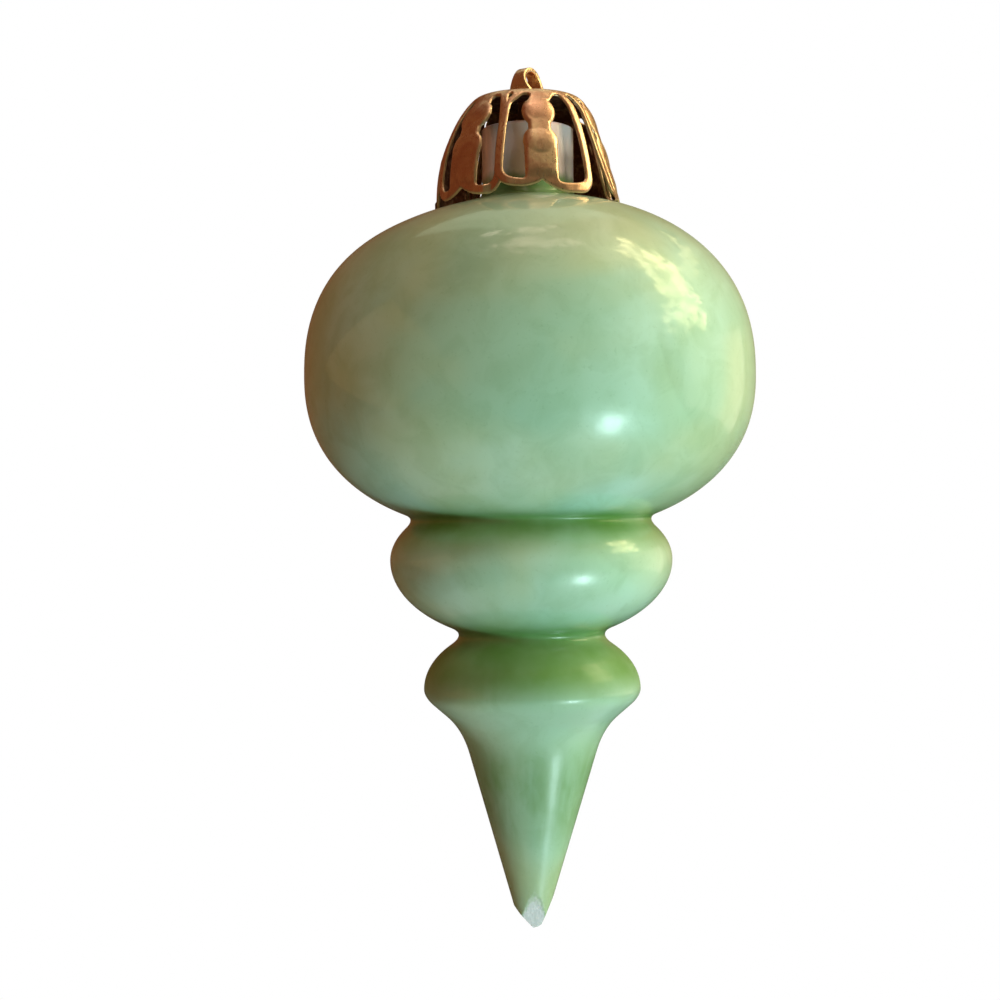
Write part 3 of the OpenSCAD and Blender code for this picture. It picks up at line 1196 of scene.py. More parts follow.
    def build(self) -> bpy.types.Object:
        """Builds and dresses the body."""
        draft = self.draft()
        piece = draft.to_object("lacquered_body")
        self.dress(piece, draft.points)
        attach(piece, BodyName.BODY.value)
        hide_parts(self.node)
        return piece


@dataclass(frozen=True)
class PetalBend:
    """How one petal has been bent by hand.

    Attributes:
        turn: Turn about the axis at the rim, in degrees.
        push: Radial push at the rim, outwards if positive.
        dent: Radial push at mid-height, outwards if positive.
        motif_turn: Further turn of the motif, in degrees.
        spread: Widening of the motif, as a share of its width.
        left_in: Turn of the left strap towards the motif, in degrees.
        right_in: Turn of the right strap towards the motif, in degrees.
        left_out: Radial push of the left strap, outwards if positive.
        right_out: Radial push of the right strap, outwards if positive.
        skew: Drop of the right side against the left, per millimetre across.
        lift: Rise of the rim.
        window_up: How far the windows are cut above the pattern's own line.
    """

    turn: float = 0.0
    push: float = 0.0
    dent: float = 0.0
    motif_turn: float = 0.0
    spread: float = 0.0
    left_in: float = 0.0
    right_in: float = 0.0
    left_out: float = 0.0
    right_out: float = 0.0
    skew: float = 0.0
    lift: float = 0.0
    window_up: float = 0.0


@dataclass
class OpenworkCrown:
    """Stamped crown cap: a pierced plate and a ring of openwork petals with a domed motif.

    Attributes:
        node: CAD node that the crown stands for.
        columns: Points across one petal's share of the ring.
        step: Spacing of the points down the bell.
        petals: Number of petals.
        first_petal: Ring angle of the first petal's centre line, in degrees.
        hole_r: Radius of the plate's hole.
        plate_r: Radius of the flat plate.
        sheet: Thickness of the sheet.
        bell_fullness: Exponent of the bell's curve.
        bell_stretch: Height of the whole curve, as a share of the crown's height.
        crown_r: Radius at the whole curve's foot.
        window_drop: Drop at which slits and windows start.
        slit_w: Width of a slit at its top.
        gap_w: Width of a slit at its foot.
        strap_w: Width of the straps beside a petal's windows.
        lobe_band: Height of the band below the windows.
        lobe_x: Distance of a lobe's middle from the petal's centre line.
        notch_h: Height of the notch between two lobes.
        window_r: Radius of a window's lower outer corner.
        corner_r: Radius of its other corners.
        foot_w: Width of the motif's foot.
        motif_neck_w: Width of the motif's neck.
        upper_boss_r: Radius of the upper boss.
        upper_boss_drop: Drop of its middle.
        upper_boss_rise: Height of its dome.
        lower_boss_r: Radius of the lower boss.
        lower_boss_drop: Drop of its middle.
        lower_boss_rise: Height of its dome.
        stem_rise: Height of the relief along the motif.
        edge_round: Width of the rolled edges.
        bends: How each petal has been bent.
    """

    PLATE_STEPS = 59
    BELL_STEPS = 400
    # Share of the step within which a grid point is moved off the pattern's edge
    NEAR_EDGE = 0.12
    # Drops over which the stem's relief sets in, and distances from the rim over which it fades
    STEM_TOP = (2.0, 3.2)
    STEM_FOOT = (2.6, 1.2)
    # Angles from the centre line between motif and strap, in degrees
    STRAP_SIDE = (14.5, 21.0)
    # Length below a window's top over which the bends set in
    CUT_H = 1.4
    # Shares of the petal's length over which the straps' push sets in
    STRAP_FREE = (0.04, 0.3)
    # Exponent with which a petal's turn grows down its length
    TURN_EASE = 0.4
    # Distances from the edge over which the relief sets in and the worn edge ends
    RELIEF_FADE = (0.0, 0.5)
    WORN_EDGE = (0.02, 0.24)
    # Least thickness at the edge, as a squared share, and the share of the relief that shows inside
    EDGE_LEAST = 0.02
    INNER_RELIEF = 0.9

    node: str = "crown_cap"
    columns: int = 80
    step: float = 0.14
    petals: int = 6
    first_petal: float = 49.0
    hole_r: float = 1.204
    plate_r: float = 6.0
    sheet: float = 0.45
    bell_fullness: float = 1.55
    bell_stretch: float = 1.07
    crown_r: float = 11.45
    window_drop: float = 1.5
    slit_w: float = 0.4
    gap_w: float = 0.85
    strap_w: float = 1.05
    lobe_band: float = 1.15
    lobe_x: float = 3.1
    notch_h: float = 1.1
    window_r: float = 1.5
    corner_r: float = 0.4
    foot_w: float = 4.1
    motif_neck_w: float = 2.8
    upper_boss_r: float = 2.05
    upper_boss_drop: float = 3.25
    upper_boss_rise: float = 0.24
    lower_boss_r: float = 2.15
    lower_boss_drop: float = 7.2
    lower_boss_rise: float = 0.34
    stem_rise: float = 0.16
    edge_round: float = 0.22
    bends: tuple[PetalBend, ...] = (
        PetalBend(turn=1.5, right_in=2.75, lift=-0.6),
        PetalBend(turn=-2.0, motif_turn=-8.0, spread=0.85, left_in=-4.3, right_in=3.0,
                  left_out=-0.2, right_out=-0.2, dent=0.5, lift=-0.6),
        PetalBend(dent=0.4, push=-0.15, motif_turn=1.0, spread=0.12, right_in=-1.5, right_out=-0.6,
                  window_up=0.75),
        PetalBend(left_in=-7.0, right_in=-2.5, motif_turn=-5.0, left_out=0.1, skew=0.1, lift=0.35,
                  window_up=0.75),
        PetalBend(turn=16.0, left_in=3.5, motif_turn=-7.0, dent=-0.7, window_up=0.75),
        PetalBend(left_in=3.5, motif_turn=-2.5, spread=0.45, lift=-0.5),
    )

    def __post_init__(self) -> None:
        """Works out the levels from the CAD node's box."""
        low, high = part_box(self.node)
        self.plate_z = high.z / MM
        self.height = (high.z - low.z) / MM

    def bell_r(self, drop: np.ndarray) -> np.ndarray:
        """Gives the bell's outer radius.

        Args:
            drop: Drops below the plate.

        Returns:
            Radii.
        """
        share = np.clip(1 - drop / (self.height * self.bell_stretch), 0, 1)
        spread = (1 - share ** self.bell_fullness) ** (1 / self.bell_fullness)
        return self.plate_r + (self.crown_r - self.plate_r) * spread

    def profile(self) -> tuple[np.ndarray, np.ndarray]:
        """Follows the plate and the bell at even steps.

        Returns:
            Points of radius and drop, and the outward normals there.
        """
        plate_r = np.linspace(self.hole_r, self.plate_r, self.PLATE_STEPS, endpoint=False)
        plate = np.column_stack([plate_r, np.zeros(self.PLATE_STEPS)])
        drop = self.height * np.linspace(0, 1, self.BELL_STEPS) ** 2
        path = np.vstack([plate, np.column_stack([self.bell_r(drop), drop])])
        along = np.concatenate([[0], np.cumsum(np.hypot(*np.diff(path, axis=0).T))])
        even = np.linspace(0, along[-1], int(along[-1] / self.step) + 1)
        points = np.column_stack([np.interp(even, along, path[:, k]) for k in range(2)])
        run = np.gradient(points, axis=0)
        run /= np.linalg.norm(run, axis=1, keepdims=True)
        return points, np.column_stack([run[:, 1], -run[:, 0]])

    def motif(self, across: np.ndarray, drop: np.ndarray) -> np.ndarray:
        """Measures how far inside the motif a point lies.

        Args:
            across: Distances from the petal's centre line.
            drop: Drops below the plate.

        Returns:
            Distances, negative outside.
        """
        aside = np.abs(across)
        upper = self.upper_boss_r - np.hypot(aside, drop - self.upper_boss_drop)
        lower = self.lower_boss_r - np.hypot(aside, drop - self.lower_boss_drop)
        neck = np.minimum(self.motif_neck_w / 2 - aside, self.lower_boss_drop - drop)
        foot = np.minimum(self.foot_w / 2 - aside, drop - self.lower_boss_drop)
        return np.maximum.reduce([upper, lower, neck, foot])

    @staticmethod
    def rounded(first: np.ndarray, second: np.ndarray, radius: float) -> np.ndarray:
        """Joins two edges of an opening by a round corner.

        Args:
            first: Distances inside the first edge.
            second: Distances inside the second edge.
            radius: Radius of the corner.

        Returns:
            Distances inside both, of at most the radius.
        """
        return radius - np.hypot(np.maximum(radius - first, 0), np.maximum(radius - second, 0))

    def metal(self, across: np.ndarray, drop: np.ndarray, radius: np.ndarray, angle: np.ndarray,
              window_top: np.ndarray) -> np.ndarray:
        """Measures how far inside the metal a point lies.

        Args:
            across: Distances from the petal's centre line, along the ring.
            drop: Drops below the plate.
            radius: Radii.
            angle: Angles from the petal's centre line.
            window_top: Drops at which the windows start.

        Returns:
            Distances, negative in the openings.
        """
        aside = np.abs(across)
        low = self.height - self.lobe_band - self.window_r
        fall = np.clip((drop - window_top) / (low - window_top), 0, 1)
        half_gap = (self.slit_w + (self.gap_w - self.slit_w) * fall) / 2
        from_gap = radius * (math.pi / self.petals - np.abs(angle))
        slit = np.hypot(from_gap, np.clip(window_top - drop, 0, None)) - half_gap
        half_petal = radius * math.pi / self.petals - half_gap
        strap_side = half_petal - self.strap_w - aside
        window = self.rounded(strap_side, low + self.window_r - drop, self.window_r)
        window = self.rounded(window, -self.motif(across, drop), self.corner_r)
        window = self.rounded(window, drop - window_top, self.corner_r)
        notch_r = (self.lobe_x ** 2 + self.notch_h ** 2) / (2 * self.notch_h)
        side_r = half_petal - self.lobe_x
        lobe_r = np.where(aside < self.lobe_x, notch_r, side_r)
        below = np.maximum(drop - (self.height - lobe_r), 0)
        lobe = lobe_r - np.hypot(aside - self.lobe_x, below)
        lobe = np.where(below > 0, lobe, self.sheet)
        return np.minimum.reduce([slit, -window, lobe])

    def relief(self, across: np.ndarray, drop: np.ndarray) -> np.ndarray:
        """Gives the height of the pressed relief.

        Args:
            across: Distances from the petal's centre line.
            drop: Drops below the plate.

        Returns:
            Heights above the bell.
        """
        aside = np.abs(across)

        def dome(centre: float, radius: float, rise: float) -> np.ndarray:
            """Round dome of a boss."""
            far = np.clip(np.hypot(aside, drop - centre) / radius, 0, 1)
            return rise * (1 - far ** 2)

        stem = self.stem_rise * np.sqrt(np.clip(1 - (aside / (self.foot_w / 2)) ** 2, 0, 1))
        fade = (self.height - self.STEM_FOOT[0], self.height - self.STEM_FOOT[1])
        return np.maximum.reduce([
            dome(self.upper_boss_drop, self.upper_boss_r, self.upper_boss_rise),
            dome(self.lower_boss_drop, self.lower_boss_r, self.lower_boss_rise),
            stem * hump(drop, self.STEM_TOP, fade)])

    def draft(self) -> MeshDraft:
        """Cuts the pattern out of the bell and gives the sheet its thickness."""
        points, normals = self.profile()
        rows, count = len(points), self.columns * self.petals
        across = np.arange(self.columns) / self.columns - 0.5
        local = np.tile(across * FULL_TURN / self.petals, self.petals)
        tops = self.window_drop - np.repeat([bend.window_up for bend in self.bends], self.columns)
        radius, drop = (np.repeat(points[:, k, None], count, axis=1) for k in range(2))
        angle = np.repeat(local[None, :], rows, axis=0)
        metal = self.metal(radius * angle, drop, radius, angle, tops[None, :])
        small = self.NEAR_EDGE * self.step
        metal = np.where(np.abs(metal) < small, np.where(metal < 0, -small, small), metal)
        corners: list[tuple[float, float, float]] = []
        found: dict[tuple[int, int, int, int], int] = {}

        def corner(row: int, col: int, row2: int, col2: int) -> int:
            """Numbers a grid point, or the point where the pattern's edge crosses a grid line."""
            key = min((row, col % count, row2, col2 % count), (row2, col2 % count, row, col % count))
            if key not in found:
                first, second = metal[row, col % count], metal[row2, col2 % count]
                on_grid = (row, col) == (row2, col2)
                share = 0.0 if on_grid else first / (first - second)
                depth = first if on_grid else 0.0
                corners.append((row + (row2 - row) * share, col + (col2 - col) * share, depth))
                found[key] = len(corners) - 1
            return found[key]

        flat: list[Face] = []
        for row in range(rows - 1):
            for col in range(count):
                ring = ((row, col), (row + 1, col), (row + 1, col + 1), (row, col + 1))
                inside = [metal[r, c % count] > 0 for r, c in ring]
                if not any(inside):
                    continue
                face: list[int] = []
                for k in range(4):
                    (r, c), (r2, c2) = ring[k], ring[(k + 1) % 4]
                    if inside[k]:
                        face.append(corner(r, c, r, c))
                    if inside[k] != inside[(k + 1) % 4]:
                        face.append(corner(r, c, r2, c2))
                flat.append(tuple(face))
        return self.lifted(np.array(corners), flat, points, normals)

    def bent(self, petal: np.ndarray, local: np.ndarray, turn: np.ndarray, radius: np.ndarray,
             drop: np.ndarray) -> tuple[np.ndarray, np.ndarray, np.ndarray]:
        """Bends the petals as hands have bent them.

        Args:
            petal: Number of each point's petal.
            local: Angle of each point from its petal's centre line.
            turn: Ring angle of each point.
            radius: Radius of each point.
            drop: Drop of each point below the plate.

        Returns:
            The points' new ring angles, radii and drops.
        """
        def each(name: str) -> np.ndarray:
            """One value of the bend of each point's petal."""
            return np.array([getattr(bend, name) for bend in self.bends])[petal]

        top = self.window_drop - each("window_up")
        free = np.clip((drop - top) / (self.height - top), 0, 1)
        aside = smooth_step(np.abs(local), *np.radians(self.STRAP_SIDE))
        straps = np.where(local < 0, each("left_in"), -each("right_in")) * aside
        motif = (each("motif_turn") + each("spread") * np.degrees(local)) * (1 - aside)
        cut = smooth_step(drop - top, 0, self.CUT_H)
        turn = turn + np.radians(each("turn") * free ** self.TURN_EASE + (straps + motif) * cut)
        across = radius * local
        strap_out = np.where(local < 0, each("left_out"), each("right_out")) * aside
        strap_out = strap_out * smooth_step(free, *self.STRAP_FREE)
        radius = radius + each("push") * free ** 2 + each("dent") * np.sin(math.pi * free) + strap_out
        drop = drop + (each("skew") * across - each("lift")) * free ** 2
        return turn, radius, drop

    def lifted(self, corners: np.ndarray, flat: list[Face], points: np.ndarray,
               normals: np.ndarray) -> MeshDraft:
        """Lifts the flat pattern onto the bell and closes it into a sheet.

        Args:
            corners: Row, column and distance from the edge of each corner.
            flat: Faces of the flat pattern.
            points: Radius and drop of each row.
            normals: Outward normal of each row.

        Returns:
            The sheet with its marks.
        """
        row, col, depth = corners.T
        rows = np.arange(len(points))
        radius, drop = (np.interp(row, rows, points[:, k]) for k in range(2))
        out_r, out_z = (np.interp(row, rows, normals[:, k]) for k in range(2))
        petal = np.floor(col / self.columns).astype(int) % self.petals
        local = (np.mod(col, self.columns) / self.columns - 0.5) * FULL_TURN / self.petals
        turn = math.radians(self.first_petal) + petal * FULL_TURN / self.petals + local
        relief = self.relief(radius * local, drop)
        turn, radius, drop = self.bent(petal, local, turn, radius, drop)
        curl = 1 - np.clip(depth / self.edge_round, 0, 1)
        rolled = np.sqrt(np.clip(1 - curl ** 2, self.EDGE_LEAST, 1)) * self.sheet / 2
        rise = relief * smooth_step(depth, *self.RELIEF_FADE)
        half = self.sheet / 2
        sides = []
        for lift in (rise + rolled - half, rise * self.INNER_RELIEF - rolled - half):
            r = radius + out_r * lift
            z = self.plate_z - drop - out_z * lift
            sides.append(np.column_stack([r * np.cos(turn), r * np.sin(turn), z]))
        count = len(corners)
        faces = list(flat) + [tuple(count + i for i in reversed(face)) for face in flat]
        edges: dict[tuple[int, int], bool] = {}
        for face in flat:
            for first, second in zip(face, face[1:] + face[:1]):
                if (second, first) in edges:
                    del edges[(second, first)]
                else:
                    edges[(first, second)] = True
        faces += [(second, first, count + first, count + second) for first, second in edges]
        # The sheet's inner side carries the hollow mark, which darkens it with painted shade on top of some
        # tarnishing.
        inner = np.concatenate([np.zeros(count), np.ones(count)])
        worn = np.tile(1 - smooth_step(depth, *self.WORN_EDGE), 2)
        return MeshDraft(np.vstack(sides), faces, {"hollow": inner, "edge": worn})

    def dress(self, piece: bpy.types.Object) -> None:
        """Gilds the crown."""
        piece.data.materials.append(CROWN_GILT.material())

    def build(self) -> bpy.types.Object:
        """Builds and dresses the crown."""
        piece = self.draft().to_object("openwork_crown")
        self.dress(piece)
        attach(piece, BodyName.CROWN.value)
        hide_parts(self.node)
        return piece


@dataclass
class SpringHanger:
    """Flat strip bent into an eye, pinched through the plate and bowed into two legs.

    Attributes:
        node: CAD node that the hanger stands for.
        eye_r: Inner radius of the eye.
        strip_t: Thickness of the strip.
        strip_w: Width of the strip.
        pinch_gap: Gap between the pinched pair.
        corner: Rounding of the strip's edges.
        bow_x: Distance from the axis at which the legs bow out most.
        tip_x: Distance of the legs' tips from the axis.
        flare: Widening of the strip under the eye, as a share of its width.
        flare_h: Height over which the widening fades.
        taper: Narrowing of the strip over the eye, as a share of its width.
        plate_under_z: Level of the crown plate's underside.
        bow_z: Level at which the legs bow out most.
        eye_opening: Angle on either side that the eye gives to the bend into the pair, in radians.
        steps: Points along each stretch.
    """

    CORNER_STEPS = 5
    # Level from which the strip narrows, and height above the plate's underside from which it is shaped
    TAPER_Z = -0.4
    SHAPED_FROM = 0.5
    # Depths below the eye's middle over which painted shade sets in under the crown's plate
    SHADED_DEPTHS = (1.9, 3.0)
    # Width of the worn edges, as a share of their rounding
    WORN_SHARE = 1.2

    node: str = "spring_hanger"
    eye_r: float = 1.4
    strip_t: float = 0.55
    strip_w: float = 1.9
    pinch_gap: float = 0.1
    corner: float = 0.16
    bow_x: float = 4.0
    tip_x: float = 1.475
    flare: float = 0.7
    flare_h: float = 1.1
    taper: float = 0.2
    plate_under_z: float = -2.355
    bow_z: float = -10.38
    eye_opening: float = 0.32
    steps: int = 40

    def centre_line(self) -> np.ndarray:
        """Follows the strip's middle from one leg's tip over the eye to the other's."""
        low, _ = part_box(self.node)
        end_z = low.z / MM
        leg_x = (self.pinch_gap + self.strip_t) / 2
        middle_r = self.eye_r + self.strip_t / 2
        share = np.linspace(0, 1, self.steps)
        sway = (1 - np.cos(math.pi * share)) / 2
        tip_to_bow = np.column_stack([self.tip_x + (self.bow_x - self.tip_x) * sway,
                                      end_z + (self.bow_z - end_z) * share])
        bow_to_pinch = np.column_stack([self.bow_x + (leg_x - self.bow_x) * sway,
                                        self.bow_z + (self.plate_under_z - self.bow_z) * share])[1:]
        opening = math.asin(leg_x / middle_r) + self.eye_opening
        arc = np.linspace(-math.pi / 2 + opening, math.pi / 2, self.steps)
        eye = np.column_stack([middle_r * np.cos(arc), middle_r * np.sin(arc)])
        neck = Outline.bend(bow_to_pinch[-1], Outline.UP, eye[0], eye[1] - eye[0])
        right = np.vstack([tip_to_bow, bow_to_pinch, neck, eye])
        left = right[::-1][1:] * np.array([-1.0, 1.0])
        return np.vstack([right, left])

    def draft(self) -> MeshDraft:
        """Sweeps the strip's rounded section along its line."""
        line = self.centre_line()
        run = np.gradient(line, axis=0)
        run /= np.linalg.norm(run, axis=1, keepdims=True)
        side = np.column_stack([run[:, 1], -run[:, 0]])
        section = self.section()
        size = len(section)
        levels = line[:, 1]
        width = 1 + self.flare * np.exp(-(((levels + self.eye_r) / self.flare_h) ** 2))
        width = width - self.taper * smooth_step(levels, self.TAPER_Z, self.eye_r)
        width = np.where(levels > self.plate_under_z + self.SHAPED_FROM, width, 1)
        rings = [np.column_stack([line[i, 0] + side[i, 0] * section[:, 0], section[:, 1] * width[i],
                                  line[i, 1] + side[i, 1] * section[:, 0]]) for i in range(len(line))]
        faces = grid_faces(len(line), size, closed=True, flipped=True)
        faces.append(tuple(range(size)))
        faces.append(tuple(reversed(range((len(line) - 1) * size, len(line) * size))))
        points = np.vstack(rings)
        # Painted shade on the strip under the crown's plate, carried by the hollow mark.
        shade = smooth_step(-points[:, 2], *self.SHADED_DEPTHS)
        worn = np.abs(section[:, 1]) > self.strip_w / 2 - self.corner * self.WORN_SHARE
        edge = np.tile(worn.astype(float), len(line))
        return MeshDraft(points, faces, {"hollow": shade, "edge": edge})

    def section(self) -> np.ndarray:
        """Gives the strip's section with rounded corners."""
        half_t, half_w = self.strip_t / 2 - self.corner, self.strip_w / 2 - self.corner
        points = []
        for turn, (x, y) in enumerate(((1, 1), (-1, 1), (-1, -1), (1, -1))):
            for angle in np.linspace(turn, turn + 1, self.CORNER_STEPS) * math.pi / 2:
                points.append((x * half_t + self.corner * math.cos(angle),
                               y * half_w + self.corner * math.sin(angle)))
        return np.array(points)

    def dress(self, piece: bpy.types.Object) -> None:
        """Gilds the hanger."""
        piece.data.materials.append(HANGER_GILT.material())

    def build(self) -> bpy.types.Object:
        """Builds and dresses the hanger."""
        piece = self.draft().to_object("strip_hanger")
        self.dress(piece)
        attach(piece, BodyName.HANGER.value)
        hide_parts(self.node)
        return piece


@dataclass
class PhotoCamera:
    """Camera at the photograph's viewing angle.

    Attributes:
        azimuth: Turn about the axis, where 0 looks along +Y, in degrees.
        distance: Distance from the axis.
        level: Height in the part's frame.
        aside: Shift to the camera's right.
        rise: Upward tilt, in degrees.
        roll: Clockwise roll, in degrees.
        lens: Focal length for the default sensor.
        near: Distance from which the camera sees.
    """

    azimuth: float = -54.0
    distance: float = 220.0
    level: float = -51.94
    aside: float = -3.75
    rise: float = 0.25
    roll: float = 0.5
    lens: float = 64.6
    near: float = 10.0

    def axes(self) -> tuple[Vector, Vector]:
        """Gives the direction to the camera and the camera's right, both level."""
        turn = math.radians(self.azimuth)
        return Vector((math.sin(turn), -math.cos(turn), 0)), Vector((math.cos(turn), math.sin(turn), 0))

    def towards(self, aside: float, above: float) -> Vector:
        """Gives a direction from the object, as seen from the camera.

        Args:
            aside: Degrees to the right of the camera.
            above: Degrees above the level.

        Returns:
            A unit vector.
        """
        back, right = self.axes()
        turn, lift = math.radians(aside), math.radians(above)
        level = back * math.cos(turn) + right * math.sin(turn)
        return level * math.cos(lift) + Vector((0, 0, math.sin(lift)))

    def build(self) -> bpy.types.Object:
        """Places the camera and makes it the scene's."""
        back, right = self.axes()
        up = Vector((0, 0, 1))
        place = (back * self.distance + right * self.aside + up * self.level) * MM
        rise, roll = math.radians(self.rise), math.radians(self.roll)
        look = -back * math.cos(rise) + up * math.sin(rise)
        over = up * math.cos(rise) + back * math.sin(rise)
        tilted_right = right * math.cos(roll) - over * math.sin(roll)
        tilted_up = over * math.cos(roll) + right * math.sin(roll)
        data = bpy.data.cameras.new("photo_camera")
        data.lens = self.lens
        data.clip_start = self.near * MM
        camera = bpy.data.objects.new("photo_camera", data)
        basis = Matrix((tilted_right, tilted_up, -look)).transposed().to_4x4()
        camera.matrix_world = Matrix.Translation(place) @ basis
        bpy.context.scene.collection.objects.link(camera)
        bpy.context.scene.camera = camera
        return camera


@dataclass(frozen=True)
class Softbox:
    """A soft lamp aimed at the object.

    Attributes:
        name: Name of the lamp.
        aside: Degrees to the right of the camera.
        above: Degrees above the level.
        distance: Distance from the middle of the object.
        width: Width of the lamp.
        height: Height of the lamp.
        power: Power in watts.
        tint: Colour of the light.
        mirrored: Whether glossy surfaces mirror it.
    """

    name: str
    aside: float
    above: float
    distance: float
    width: float
    height: float
    power: float
    tint: tuple[float, float, float]
    mirrored: bool = True


@dataclass(frozen=True)
class RoomCard:
    """A curved card beside the set that the glossy surfaces mirror and the camera doesn't see.

    Attributes:
        name: Name of the card.
        aside: First and last angle to the right of the camera, in degrees.
        above: Lowest and highest angle above the level, in degrees.
        radius: Distance from the middle of the object.
        glow: Finish of the card.
        lights: Whether matt surfaces take light from it.
        slant: Lean to the right, in degrees aside for each degree above the card's middle.
    """

    name: str
    aside: tuple[float, float]
    above: tuple[float, float]
    radius: float
    glow: CardGlow
    lights: bool = True
    slant: float = 0.0


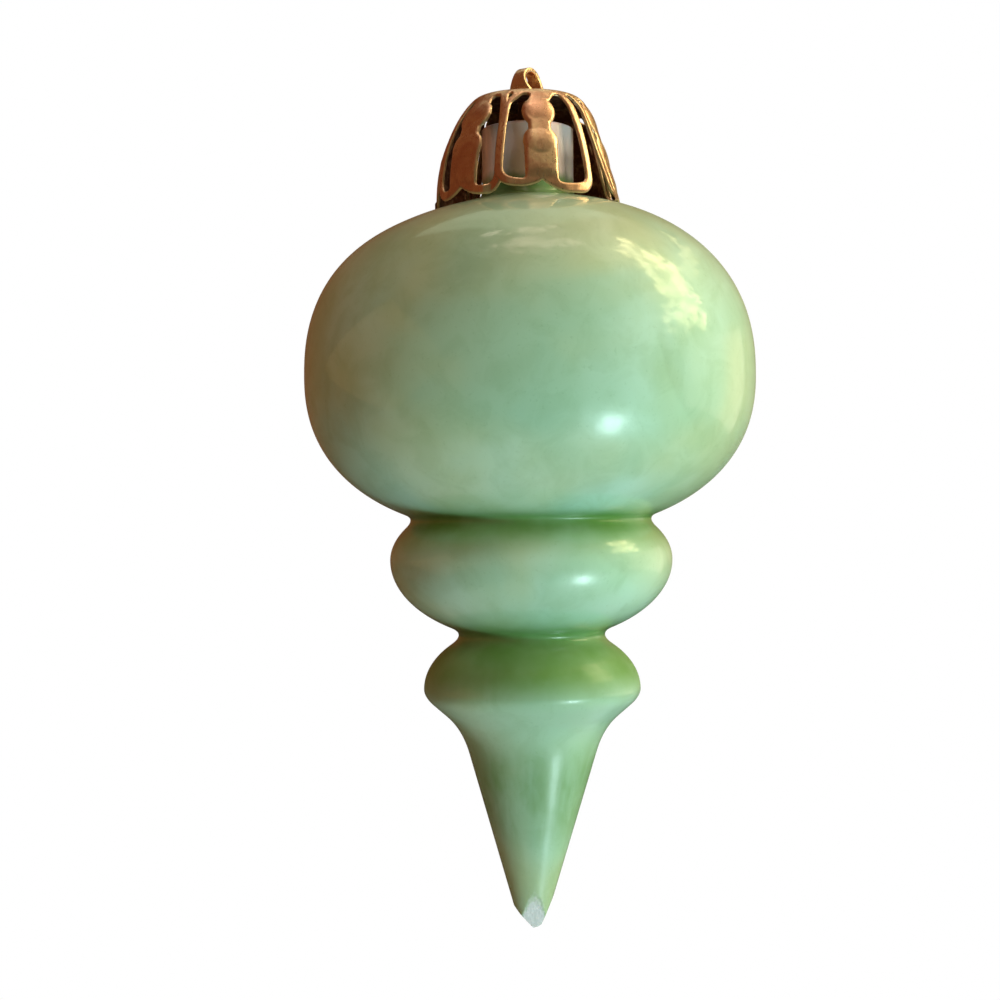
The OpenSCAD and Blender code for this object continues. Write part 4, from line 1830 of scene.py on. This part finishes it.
@dataclass
class Studio:
    """Plain pale floor, soft lamps, cards and a white background.

    Attributes:
        camera: Camera from which the places are counted.
        drop: Height of the tip above the floor.
        floor_r: Radius of the floor.
        lamps: Lamps round the object.
        cards: Cards round the object.
        ambient: Even light from all sides.
    """

    FLOOR_SIDES = 64
    FLOOR_RINGS = 12
    CARD_COLUMNS = 37
    CARD_ROWS = 17

    camera: PhotoCamera
    drop: float = 120.0
    floor_r: float = 240.0
    lamps: tuple[Softbox, ...] = (
        Softbox("key_light", 92, 20, 450, 300, 240, 2.75, (1.0, 0.69, 0.47), mirrored=False),
        Softbox("low_light", 46, -36, 420, 76, 104, 1.2, (0.7, 1.0, 1.0)),
        Softbox("front_fill", 30, 20, 500, 250, 250, 0.9, (1.0, 1.0, 1.0), mirrored=False),
        Softbox("brown_fill", -62, 14, 500, 300, 300, 0.8, (1.0, 0.40, 0.2), mirrored=False),
    )
    cards: tuple[RoomCard, ...] = (
        RoomCard("brown_card", (-180, -20), (-60, 86), 420,
                 CardGlow("brown_glow", srgb(116, 71, 44), srgb(74, 60, 42))),
        RoomCard("front_card", (-20, 76), (-60, 30), 420,
                 CardGlow("front_glow", srgb(100, 100, 76), srgb(66, 72, 58))),
        RoomCard("upper_card", (-20, 76), (30, 50), 420,
                 CardGlow("upper_glow", srgb(136, 120, 92))),
        RoomCard("warm_card", (76, 180), (-60, 24), 420,
                 CardGlow("warm_glow", srgb(150, 138, 104), srgb(76, 82, 64))),
        RoomCard("wall_card", (76, 180), (24, 50), 420,
                 CardGlow("wall_glow", srgb(156, 130, 80))),
        RoomCard("ceiling_card", (-20, 180), (50, 88), 420,
                 CardGlow("ceiling_glow", srgb(216, 192, 158))),
        RoomCard("sheen_card", (-60, 80), (72, 104), 410,
                 CardGlow("sheen_glow", srgb(255, 232, 206), level=3.6, dapple=0.5), lights=False),
        RoomCard("window_card", (76, 108), (16, 64), 400,
                 CardGlow("window_glow", srgb(255, 240, 180), level=9.0, dapple=0.65), lights=False,
                 slant=0.39),
        RoomCard("leaf_card", (100, 150), (35, 43), 400,
                 CardGlow("leaf_glow", srgb(255, 236, 170), level=2.4, dapple=0.7), lights=False),
        RoomCard("side_card", (82, 132), (-14, 14), 405,
                 CardGlow("side_glow", srgb(255, 246, 214)), lights=False),
        RoomCard("back_card", (150, 222), (52, 82), 405,
                 CardGlow("back_glow", srgb(226, 230, 196)), lights=False),
    )
    ambient: Colour = (0.085, 0.082, 0.078, 1.0)

    def middle(self) -> Vector:
        """Gives the middle of the object, in metres."""
        low, high = CAD_BOX
        return (Vector(low) + Vector(high)) / 2

    def add_floor(self) -> bpy.types.Object:
        """Makes the floor as a disc of rings that fades out towards its edge."""
        low, _ = CAD_BOX
        level = low[2] / MM - self.drop
        sides, rings = self.FLOOR_SIDES, self.FLOOR_RINGS
        radii = np.linspace(0, self.floor_r, rings + 1)[1:, None]
        turn = np.arange(sides) / sides * FULL_TURN
        ring_points = np.stack([radii * np.cos(turn), radii * np.sin(turn),
                                np.full((rings, sides), level)], axis=-1).reshape(-1, 3)
        points = np.vstack([np.array([[0, 0, level]]), ring_points])
        faces: list[Face] = [(0, 1 + i, 1 + (i + 1) % sides) for i in range(sides)]
        faces += grid_faces(rings, sides, closed=True, flipped=True, first=1)
        floor = MeshDraft(points, faces).to_object("floor")
        floor.data.materials.append(FLOOR_MATT.material())
        return floor

    def add_lamp(self, box: Softbox) -> bpy.types.Object:
        """Hangs one lamp.

        Args:
            box: The lamp.

        Returns:
            The lamp's object.
        """
        data = bpy.data.lights.new(box.name, "AREA")
        data.shape = "RECTANGLE"
        data.size, data.size_y = box.width * MM, box.height * MM
        data.energy = box.power
        data.color = box.tint
        lamp = bpy.data.objects.new(box.name, data)
        way = self.camera.towards(box.aside, box.above)
        lamp.location = self.middle() + way * box.distance * MM
        lamp.rotation_euler = way.to_track_quat("Z", "Y").to_euler()
        lamp.visible_glossy = box.mirrored
        bpy.context.scene.collection.objects.link(lamp)
        return lamp

    def add_card(self, card: RoomCard) -> bpy.types.Object:
        """Stands one card beside the set.

        Args:
            card: The card.

        Returns:
            The card's object.
        """
        columns, rows = self.CARD_COLUMNS, self.CARD_ROWS
        asides, aboves = np.linspace(*card.aside, columns), np.linspace(*card.above, rows)
        centre = np.array(self.middle()) / MM
        points = np.array([
            centre + np.array(self.camera.towards(a + card.slant * (b - aboves.mean()), b)) * card.radius
            for b in aboves for a in asides])
        across, up = np.abs(np.linspace(-1, 1, columns)), np.abs(np.linspace(-1, 1, rows))
        inner = 1 - np.maximum(across[None, :], up[:, None])
        faces = grid_faces(rows, columns, closed=False)
        piece = MeshDraft(points, faces, {"inner": inner.ravel()}).to_object(card.name)
        piece.data.materials.append(card.glow.material())
        piece.visible_camera = False
        piece.visible_shadow = False
        piece.visible_diffuse = card.lights
        return piece

    def add_background(self) -> None:
        """Makes the background white for what sees it, and gives the rest an even light."""
        world = bpy.data.worlds.new("studio_world")
        world.use_nodes = True
        bpy.context.scene.world = world
        graph = Graph(world.node_tree)
        path = graph.node("ShaderNodeLightPath")
        seen = graph.larger(path.outputs["Is Camera Ray"], path.outputs["Is Glossy Ray"])
        seen = graph.larger(seen, path.outputs["Is Transmission Ray"])
        light, white = graph.node("ShaderNodeBackground"), graph.node("ShaderNodeBackground")
        light.inputs["Color"].default_value = self.ambient
        white.inputs["Color"].default_value = (1.0, 1.0, 1.0, 1.0)
        graph.end(graph.blend(seen, light.outputs[0], white.outputs[0]), "ShaderNodeOutputWorld")

    def build(self) -> None:
        """Sets up the floor, the lamps, the cards and the background."""
        bpy.context.scene.view_settings.view_transform = "Standard"
        self.add_background()
        self.add_floor()
        for box in self.lamps:
            self.add_lamp(box)
        for card in self.cards:
            self.add_card(card)


def report(piece: bpy.types.Object) -> None:
    """Logs a finished piece.

    Args:
        piece: The piece.
    """
    size = ", ".join(f"{length / MM:.1f}" for length in piece.dimensions)
    LOG.info("%s: %d corners, %d faces, %s mm", piece.name, len(piece.data.vertices),
             len(piece.data.polygons), size)


def main() -> None:
    """Builds the ornament and the set in order."""
    logging.basicConfig(level=logging.INFO, format="%(name)s: %(message)s")
    camera = PhotoCamera()
    camera.build()
    for piece in (TurnedBody(), OpenworkCrown(), SpringHanger()):
        report(piece.build())
    Studio(camera).build()


if __name__ == "__main__":
    main()
